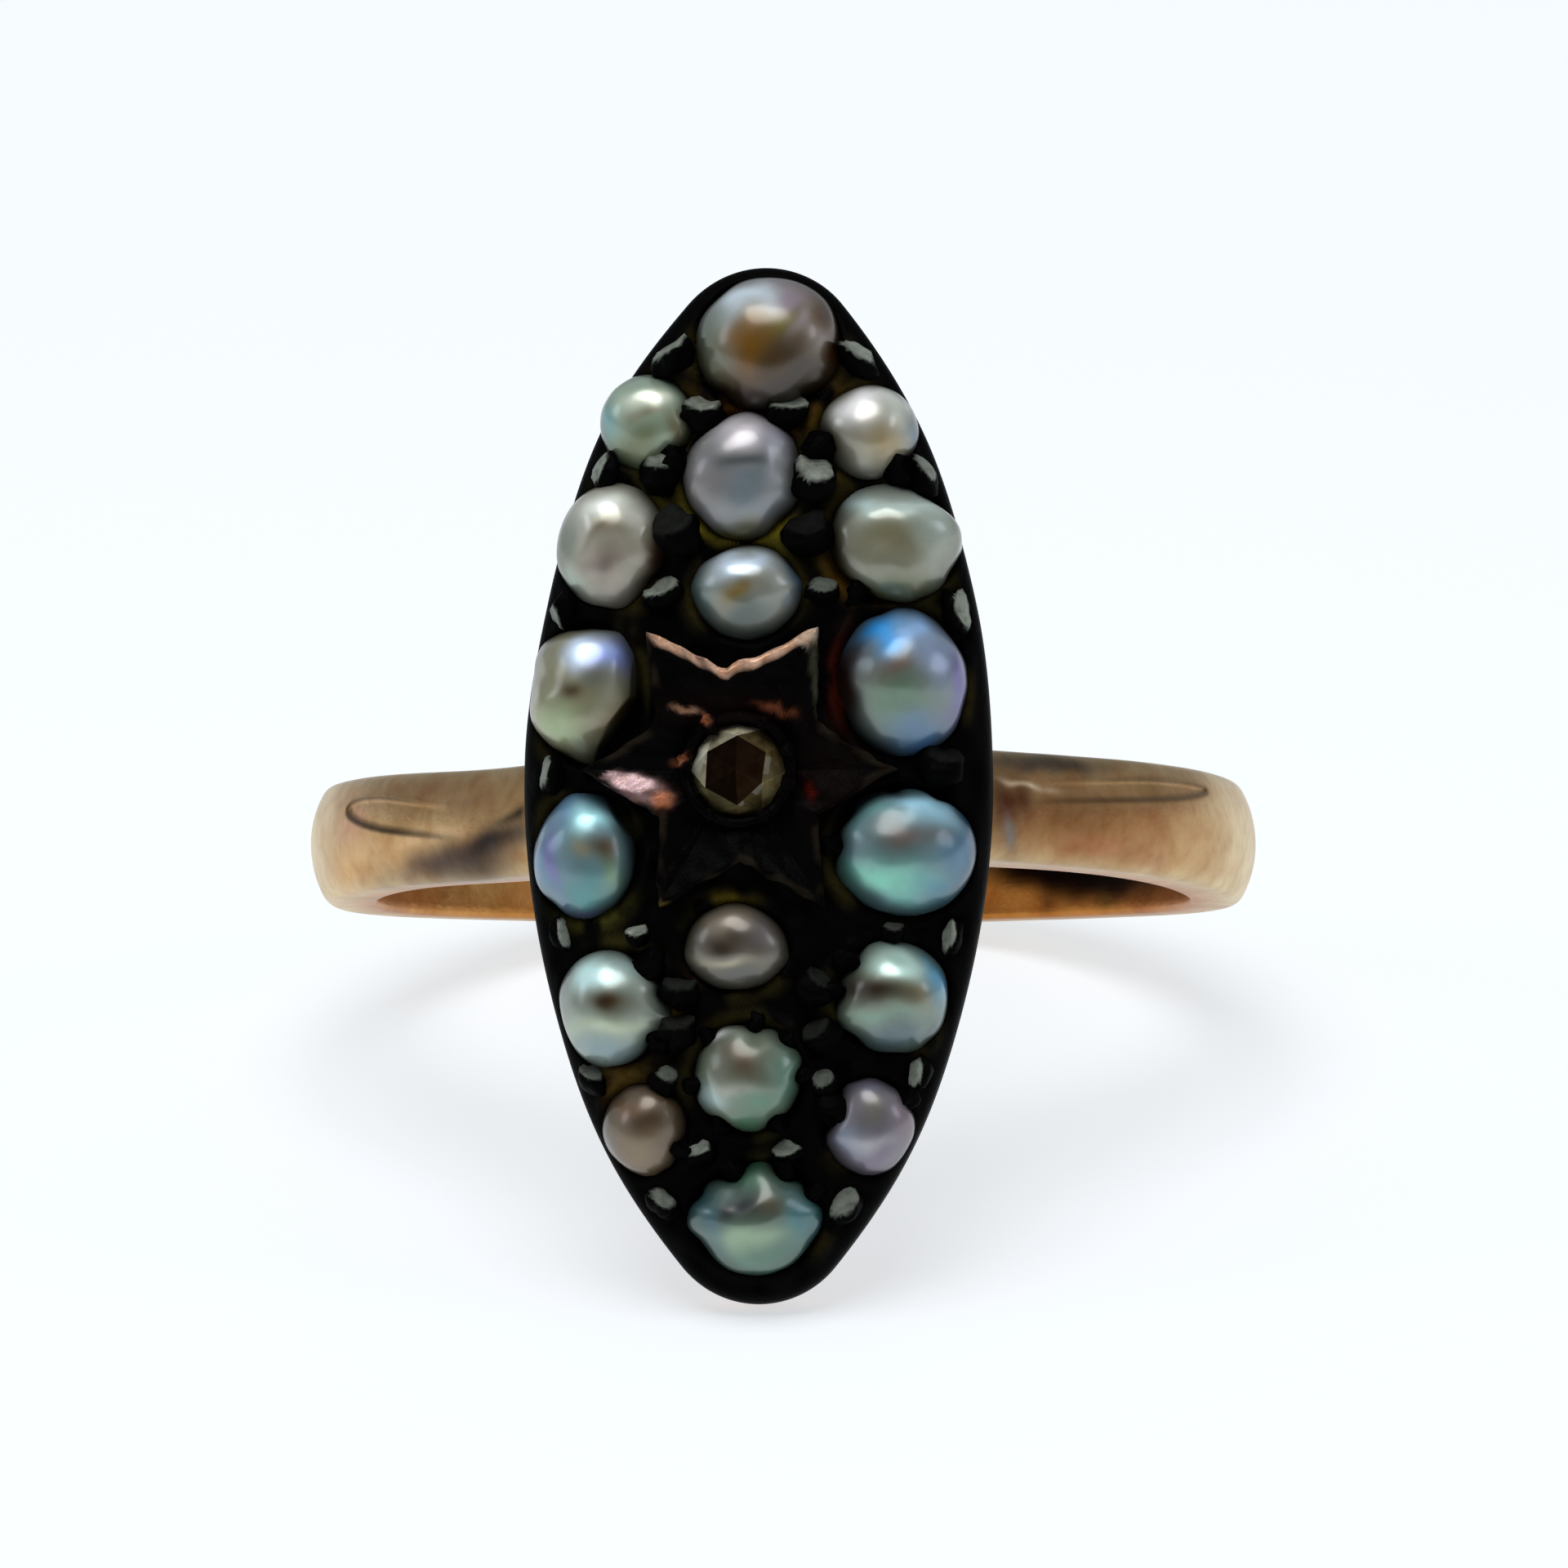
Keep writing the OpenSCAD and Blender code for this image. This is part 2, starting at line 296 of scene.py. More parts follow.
@dataclass
class Shell:
    """A closed skin: points, faces, a painted colour and how much of it shines as metal."""

    points: np.ndarray
    quads: np.ndarray
    triangles: np.ndarray
    skin: np.ndarray
    shine: np.ndarray

    @classmethod
    def from_rings(cls, rings: np.ndarray, skin: np.ndarray, shine: np.ndarray | None = None) -> Shell:
        """Closes a stack of rings at both ends with a point in the middle of the end ring.

        The rings go from the top outwards and down, and run anticlockwise seen from above, so
        that the points (r, t), (r + 1, t), (r + 1, t + 1), (r, t + 1) are a face turned outwards.

        Args:
            rings: Points as rings by places on a ring by 3.
            skin: Colours as rings by places by 3.
            shine: Share of metal as rings by places.

        Returns:
            The closed skin.
        """
        rows, around = rings.shape[:2]
        shine = np.zeros((rows, around)) if shine is None else shine
        index = np.arange(rows * around).reshape(rows, around)
        after = np.roll(index, -1, axis=1)
        quads = np.stack([index[:-1], index[1:], after[1:], after[:-1]], -1).reshape(-1, 4)
        top, bottom = rows * around, rows * around + 1
        fan_top = np.stack([np.full(around, top), index[0], after[0]], -1)
        fan_bottom = np.stack([np.full(around, bottom), after[-1], index[-1]], -1)

        def closed(values: np.ndarray) -> np.ndarray:
            """Adds the mean of the first and of the last ring."""
            ends = np.stack([values[0].mean(0), values[-1].mean(0)])
            return np.concatenate([values.reshape(rows * around, *values.shape[2:]), ends])

        triangles = np.concatenate([fan_top, fan_bottom])
        return cls(closed(rings), quads, triangles, closed(skin), closed(shine))

    @classmethod
    def from_loop(cls, sections: np.ndarray, skin: np.ndarray, shine: np.ndarray) -> Shell:
        """Joins a closed row of closed sections, as of a tube bent into a ring.

        Args:
            sections: Points as sections by places on a section by 3.
            skin: Colours as sections by places by 3.
            shine: Share of metal as sections by places.

        Returns:
            The closed skin, which faces outwards.
        """
        rows, around = sections.shape[:2]
        index = np.arange(rows * around).reshape(rows, around)
        after = np.roll(index, -1, axis=1)
        quads = np.stack([index, np.roll(index, -1, 0), np.roll(after, -1, 0), after], -1)
        none = np.zeros((0, 3), int)
        flat = (sections.reshape(-1, 3), quads.reshape(-1, 4), none, skin.reshape(-1, 3), shine.ravel())
        shell = cls(*flat)
        return shell if shell.volume() > 0 else shell.turned_out()

    @classmethod
    def joined(cls, shells: list[Shell]) -> Shell:
        """Puts several skins in one, each still closed by itself.

        Args:
            shells: The skins.

        Returns:
            One skin with all their points and faces.
        """
        starts = np.cumsum([0] + [len(s.points) for s in shells[:-1]])
        return cls(
            np.concatenate([s.points for s in shells]),
            np.concatenate([s.quads + n for s, n in zip(shells, starts)]),
            np.concatenate([s.triangles + n for s, n in zip(shells, starts)]),
            np.concatenate([s.skin for s in shells]),
            np.concatenate([s.shine for s in shells]),
        )

    def volume(self) -> float:
        """Volume inside the skin: the sum of a . (b x c) / 6 over its triangles.

        Returns:
            The volume in cubic millimetres.
        """
        cut = [self.quads[:, [0, 1, 2]], self.quads[:, [0, 2, 3]], self.triangles]
        a, b, c = np.moveaxis(self.points[np.concatenate(cut)], 1, 0)
        return float((a * np.cross(b, c)).sum() / 6)

    def turned_out(self) -> Shell:
        """The same skin with each face turned the other way."""
        return Shell(self.points, self.quads[:, ::-1], self.triangles[:, ::-1], self.skin, self.shine)

    def to_object(self, name: str, frame: RingFrame, smooth: bool = True) -> bpy.types.Object:
        """Makes the skin an object of the scene, with its place in its mesh.

        Args:
            name: Name of the object.
            frame: Frame that lays the ring down.
            smooth: True for soft shading across the faces.

        Returns:
            The object, which sits at the origin.
        """
        mesh = bpy.data.meshes.new(name)
        faces = self.quads.tolist() + self.triangles.tolist()
        mesh.from_pydata(frame.lay(self.points).tolist(), [], faces)
        mesh.polygons.foreach_set("use_smooth", np.full(len(faces), smooth))
        colours = np.concatenate([self.skin, np.ones((len(self.skin), 1))], -1)
        skin = mesh.attributes.new("skin", "FLOAT_COLOR", "POINT")
        skin.data.foreach_set("color", colours.astype(np.float32).ravel())
        shine = mesh.attributes.new("shine", "FLOAT", "POINT")
        shine.data.foreach_set("value", self.shine.astype(np.float32))
        mesh.update()
        made = bpy.data.objects.new(name, mesh)
        bpy.context.scene.collection.objects.link(made)
        return made


class Bench:
    """The node tree of one finish, with short calls for the nodes that it holds."""

    def __init__(self, name: str) -> None:
        """Makes an empty material with a shader and an output.

        Args:
            name: Name of the material.
        """
        self.material = bpy.data.materials.new(name)
        self.material.use_nodes = True
        self.tree = self.material.node_tree
        self.tree.nodes.clear()
        self.shader = self.tree.nodes.new("ShaderNodeBsdfPrincipled")
        out = self.tree.nodes.new("ShaderNodeOutputMaterial")
        self.tree.links.new(self.shader.outputs["BSDF"], out.inputs["Surface"])
        self.place = self.tree.nodes.new("ShaderNodeTexCoord").outputs["Object"]

    def put(self, target: bpy.types.NodeSocket, value: object) -> None:
        """Links a socket to a value that is a socket, and sets it otherwise.

        Args:
            target: Socket to link or set.
            value: A socket, a plain value, or None to leave the target as it is.
        """
        if isinstance(value, bpy.types.NodeSocket):
            self.tree.links.new(value, target)
        elif value is not None:
            target.default_value = value

    def set(self, **values: object) -> None:
        """Sets or links the shader's sockets, named with underscores for spaces.

        Args:
            values: Numbers, colours or sockets by the shader's socket names.
        """
        names = {key.lower().replace(" ", "_"): key for key in self.shader.inputs.keys()}
        for name, value in values.items():
            self.put(self.shader.inputs[names[name]], value)

    def attribute(self, name: str, output: str) -> bpy.types.NodeSocket:
        """Reads a named value of the mesh.

        Args:
            name: Name of the attribute.
            output: Output of the node, Fac for a number and Color for a colour.

        Returns:
            The socket that holds it.
        """
        node = self.tree.nodes.new("ShaderNodeAttribute")
        node.attribute_name = name
        return node.outputs[output]

    def noise(self, grain_mm: float, detail: float = 3.0, twist: float = 0.0) -> bpy.types.NodeSocket:
        """A cloudy pattern on the object's own coordinates.

        Args:
            grain_mm: Size of its patches in millimetres.
            detail: Number of finer layers.
            twist: Distortion of the pattern.

        Returns:
            A socket with values round one half.
        """
        node = self.tree.nodes.new("ShaderNodeTexNoise")
        self.put(node.inputs["Vector"], self.place)
        node.inputs["Scale"].default_value = 1 / (grain_mm * MM)
        node.inputs["Detail"].default_value = detail
        node.inputs["Distortion"].default_value = twist
        return node.outputs["Fac"]

    def span(
        self,
        value: bpy.types.NodeSocket,
        low: float,
        high: float,
        to_low: float = 0.0,
        to_high: float = 1.0,
    ) -> bpy.types.NodeSocket:
        """Carries a value from one span to another, held at its ends.

        Args:
            value: Socket to carry over.
            low: Start of its span.
            high: End of its span.
            to_low: Result at the start.
            to_high: Result at the end.

        Returns:
            The result.
        """
        node = self.tree.nodes.new("ShaderNodeMapRange")
        self.put(node.inputs["Value"], value)
        node.inputs["From Min"].default_value = low
        node.inputs["From Max"].default_value = high
        node.inputs["To Min"].default_value = to_low
        node.inputs["To Max"].default_value = to_high
        return node.outputs["Result"]

    def tinted(
        self,
        skin: bpy.types.NodeSocket,
        share: bpy.types.NodeSocket,
        tint: Colour,
    ) -> bpy.types.NodeSocket:
        """Multiplies a colour by a tint where the share says so.

        Args:
            skin: Colour to tint.
            share: How much of the tint is laid on, from 0 to 1.
            tint: Factors for red, green and blue.

        Returns:
            The tinted colour.
        """
        node = self.tree.nodes.new("ShaderNodeMix")
        node.data_type = "RGBA"
        node.blend_type = "MULTIPLY"
        self.put(node.inputs["Factor"], share)
        self.put(node.inputs[6], skin)
        self.put(node.inputs[7], (*tint, 1.0))
        return node.outputs[2]

    def bump(
        self,
        height: bpy.types.NodeSocket,
        depth_mm: float,
        under: bpy.types.NodeSocket | None = None,
    ) -> bpy.types.NodeSocket:
        """Raises fine relief from a pattern.

        Args:
            height: Pattern, 1 at its highest.
            depth_mm: Height of the relief in millimetres.
            under: Relief that this one lies on.

        Returns:
            The bent normal.
        """
        node = self.tree.nodes.new("ShaderNodeBump")
        node.inputs["Distance"].default_value = depth_mm * MM
        self.put(node.inputs["Height"], height)
        self.put(node.inputs["Normal"], under)
        return node.outputs["Normal"]


@dataclass(frozen=True)
class WornMetal:
    """Metal painted with its colour and its share of bare shine, over fine wear.

    Lengths are in millimetres. The two tints are multiplied in as clouds and as fine specks.
    """

    name: str
    cloud_mm: float
    cloud_tint: Colour
    speck_mm: float
    speck_tint: Colour
    rough_bare: float
    rough_dull: float
    specular: float
    wear_depth: float

    def material(self) -> bpy.types.Material:
        """Builds the material.

        Returns:
            The material.
        """
        b = Bench(self.name)
        shine = b.attribute("shine", "Fac")
        speck = b.noise(self.speck_mm, 4, 0.3)
        cloud = b.span(b.noise(self.cloud_mm, 4, 0.5), 0.38, 0.68)
        skin = b.tinted(b.attribute("skin", "Color"), cloud, self.cloud_tint)
        fine = b.bump(b.noise(self.speck_mm / 3, 3), self.wear_depth / 2, b.bump(speck, self.wear_depth))
        b.set(
            base_color=b.tinted(skin, b.span(speck, 0.45, 0.75), self.speck_tint),
            metallic=shine,
            roughness=b.span(shine, 0.0, 1.0, self.rough_dull, self.rough_bare),
            specular_ior_level=self.specular,
            normal=fine,
        )
        return b.material


ROSE_GOLD = WornMetal(
    name="rose_gold",
    cloud_mm=0.9,
    cloud_tint=(0.80, 0.72, 0.62),
    speck_mm=0.30,
    speck_tint=(0.90, 0.82, 0.74),
    rough_bare=0.36,
    rough_dull=0.5,
    specular=0.5,
    wear_depth=0.010,
)

BLACKENED_SILVER = WornMetal(
    name="blackened_silver",
    cloud_mm=0.8,
    cloud_tint=(0.7, 0.7, 0.7),
    speck_mm=0.16,
    speck_tint=(0.6, 0.6, 0.55),
    rough_bare=0.32,
    rough_dull=0.5,
    specular=0.02,
    wear_depth=0.015,
)

STAR_GOLD = WornMetal(
    name="star_gold",
    cloud_mm=0.5,
    cloud_tint=(0.8, 0.7, 0.6),
    speck_mm=0.14,
    speck_tint=(0.7, 0.6, 0.5),
    rough_bare=0.32,
    rough_dull=0.45,
    specular=0.03,
    wear_depth=0.02,
)


@dataclass(frozen=True)
class RoseCut:
    """An old rose-cut stone over a dark foil: each facet has its own painted glint."""

    name: str = "rose_cut"
    cloud_mm: float = 0.25
    cloud_tint: Colour = (0.55, 0.45, 0.35)
    rough: float = 0.1
    ior: float = 1.8
    specular: float = 0.25
    coat: float = 0.2
    coat_rough: float = 0.03

    def material(self) -> bpy.types.Material:
        """Builds the material.

        Returns:
            The material.
        """
        b = Bench(self.name)
        cloud = b.span(b.noise(self.cloud_mm, 2, 0.6), 0.4, 0.7)
        b.set(
            base_color=b.tinted(b.attribute("skin", "Color"), cloud, self.cloud_tint),
            roughness=self.rough,
            ior=self.ior,
            specular_ior_level=self.specular,
            coat_weight=self.coat,
            coat_roughness=self.coat_rough,
        )
        return b.material


@dataclass(frozen=True)
class Nacre:
    """Baroque pearl nacre: painted clouds of colour under a satin lustre that mirrors the room.

    Lengths are in millimetres. The roughness runs between its two values with the cloud.
    """

    name: str = "nacre"
    cloud_mm: float = 0.55
    cloud_tint: Colour = (0.72, 0.72, 0.68)
    cloud_share: float = 0.5
    lustre: float = 0.25
    rough: tuple[float, float] = (0.28, 0.34)
    ior: float = 1.6
    specular: float = 0.5
    coat: float = 0.4
    coat_rough: float = 0.19
    coat_ior: float = 1.7
    relief: float = 0.008

    def material(self) -> bpy.types.Material:
        """Builds the material.

        Returns:
            The material.
        """
        b = Bench(self.name)
        cloud = b.noise(self.cloud_mm, 2, 0.3)
        share = b.span(cloud, 0.45, 0.75, 0.0, self.cloud_share)
        b.set(
            base_color=b.tinted(b.attribute("skin", "Color"), share, self.cloud_tint),
            metallic=self.lustre,
            roughness=b.span(cloud, 0.3, 0.7, *self.rough),
            ior=self.ior,
            specular_ior_level=self.specular,
            coat_weight=self.coat,
            coat_roughness=self.coat_rough,
            coat_ior=self.coat_ior,
            normal=b.bump(cloud, self.relief),
        )
        return b.material


@dataclass
class Finishes:
    """One material for each slot of the record."""

    made: dict[Slot, bpy.types.Material] = field(default_factory=dict)

    def make_all(self) -> None:
        """Builds every finish of the ring."""
        recipes = {
            Slot.ROSE_GOLD: ROSE_GOLD,
            Slot.BLACKENED_SILVER: BLACKENED_SILVER,
            Slot.STAR_GOLD: STAR_GOLD,
            Slot.ROSE_CUT: RoseCut(),
            Slot.NACRE: Nacre(),
        }
        self.made = {slot: recipe.material() for slot, recipe in recipes.items()}

    def dress(self, piece: bpy.types.Object, slot: Slot, node: str) -> None:
        """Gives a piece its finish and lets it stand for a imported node.

        Args:
            piece: The new piece.
            slot: Slot of its finish.
            node: Name of the node that it stands for.
        """
        piece.data.materials.append(self.made[slot])
        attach(piece, BODY)
        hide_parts(node)
        LOG.info("%s: %d corners, finish %s", piece.name, len(piece.data.vertices), slot.value)


class Piece:
    """A new piece of the ring: one skin with one finish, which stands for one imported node."""

    node: str
    made: str
    slot: Slot
    smooth = True

    def shell(self) -> Shell:
        """Builds the skin in the ring's frame."""
        raise NotImplementedError

    def build(self, frame: RingFrame, finishes: Finishes) -> None:
        """Makes the piece and dresses it.

        Args:
            frame: Frame that lays the ring down.
            finishes: The ring's finishes.
        """
        finishes.dress(self.shell().to_object(self.made, frame, self.smooth), self.slot, self.node)


@dataclass(frozen=True)
class NavetteOutline:
    """An outline of two long arcs and two round tips that meet smoothly.

    The last six values are the old wear: how much fuller the head is off its tips, how much
    more at its upper half, where and over what reach, and how far its upper part is bent.
    """

    half_w: float
    half_l: float
    tip_r: float
    fuller: float = 0.052
    fuller_above: float = 0.018
    fuller_at: float = 0.78
    fuller_reach: float = 0.25
    bend_above: float = 0.07
    bend_tip: float = 0.08

    @property
    def tip_middle(self) -> float:
        """Distance of a tip's centre from the outline's middle."""
        return self.half_l - self.tip_r

    @property
    def side_r(self) -> float:
        """Radius of the long sides, from the tangent tips: (w^2 + c^2 - r^2) / (2 (w - r))."""
        w, c, r = self.half_w, self.tip_middle, self.tip_r
        return (w * w + c * c - r * r) / (2 * (w - r))

    @property
    def turn(self) -> float:
        """Angle of the outline's normal where a long side meets a tip."""
        return math.atan2(self.tip_middle, self.side_r - self.half_w)

    def walk(self, count: int) -> tuple[np.ndarray, np.ndarray]:
        """Walks round the outline in equal steps, anticlockwise from the right side.

        On each arc the normal turns evenly with the way walked, and a point is the arc's
        centre plus its radius times the normal.

        Args:
            count: Number of steps.

        Returns:
            Points and outward normals, two numbers each.
        """
        side = 2 * self.turn * self.side_r
        tip = (np.pi - 2 * self.turn) * self.tip_r
        ends = np.cumsum([0, side, tip, side, tip])
        angles = [-self.turn, self.turn, np.pi - self.turn, np.pi + self.turn, 2 * np.pi - self.turn]
        way = np.arange(count) / count * ends[-1]
        angle = np.interp(way, ends, angles)
        arc = np.searchsorted(ends, way, side="right") - 1
        off = self.side_r - self.half_w
        centres = np.array([[-off, 0], [0, self.tip_middle], [off, 0], [0, -self.tip_middle]])
        radii = np.array([self.side_r, self.tip_r, self.side_r, self.tip_r])
        normal = np.stack([np.cos(angle), np.sin(angle)], -1)
        return centres[arc] + radii[arc, None] * normal, normal

    def worn(self, flat: np.ndarray) -> np.ndarray:
        """Bends places on the plate as the old head is bent: fuller off the tips, top to the right.

        Args:
            flat: Places about the outline's middle, two numbers each.

        Returns:
            The bent places.
        """
        share = flat[..., 1] / self.half_l
        gain = self.fuller + self.fuller_above * smooth_step(-0.2, 0.2, share)
        wider = 1 + gain * bell(np.abs(share) - self.fuller_at, self.fuller_reach)
        bend = self.bend_above * smooth_step(0.05, 0.35, share)
        bend = bend + self.bend_tip * smooth_step(0.7, 1.0, share)
        return np.stack([flat[..., 0] * wider + bend, flat[..., 1]], -1)


@dataclass(frozen=True)
class Bombe:
    """The silver's bombé top: an arc across the finger, swept along a longer arc."""

    crown_z: float
    rise: float
    across_r: float = 13.5
    along_r: float = 58.0

    def height(self, x: np.ndarray, y: np.ndarray) -> np.ndarray:
        """Height at a place: crown - Ry + sqrt((Ry - Rx + sqrt(Rx^2 - x^2))^2 - y^2)."""
        arm = self.along_r - self.across_r + np.sqrt(self.across_r**2 - x**2)
        return self.crown_z - self.along_r + np.sqrt(arm**2 - (y - self.rise) ** 2)

    def basis(self, x: np.ndarray, y: np.ndarray) -> np.ndarray:
        """Directions across, along and square to the top at a place.

        Args:
            x: Places across the finger.
            y: Places along the finger.

        Returns:
            For each place three unit vectors: across, along and outwards.
        """
        step = 0.01
        x, y = np.asarray(x, float), np.asarray(y, float)
        zero, one = np.zeros_like(x), np.ones_like(x)
        slope_x = (self.height(x + step, y) - self.height(x - step, y)) / (2 * step)
        slope_y = (self.height(x, y + step) - self.height(x, y - step)) / (2 * step)
        out = np.stack([-slope_x, -slope_y, one], -1)
        out /= np.linalg.norm(out, axis=-1, keepdims=True)
        across = np.stack([one, zero, slope_x], -1)
        across /= np.linalg.norm(across, axis=-1, keepdims=True)
        return np.stack([across, np.cross(out, across), out], -2)


@dataclass(frozen=True)
class PearlLook:
    """What one half pearl looks like. Places on it are shares of its half width and height.

    A bite is an angle in degrees, a depth and a width in degrees: there a grain holds the
    pearl, or a negative depth makes it bulge. A cut is an angle and a distance from the middle
    past which the pearl is cut straight. A dent is a place, a size and a depth. The pearl is
    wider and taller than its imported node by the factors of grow, and shifted in millimetres.
    """

    base: Colour
    patches: tuple[Patch, ...]
    bites: tuple[tuple[float, float, float], ...] = ()
    cuts: tuple[tuple[float, float], ...] = ()
    dents: tuple[tuple[float, float, float, float], ...] = ()
    lumps: float = 0.03
    # Strength of the painted shade at the pearl's border.
    edge_dark: float = 0.68
    grow: tuple[float, float] = (1.0, 1.0)
    shift: tuple[float, float] = (0.0, 0.0)


def pearl_look(base: Colour, *patches: Patch, **form: object) -> PearlLook:
    """Makes a look of a base colour, the patches over it and the values of its form."""
    return PearlLook(base, patches, **form)
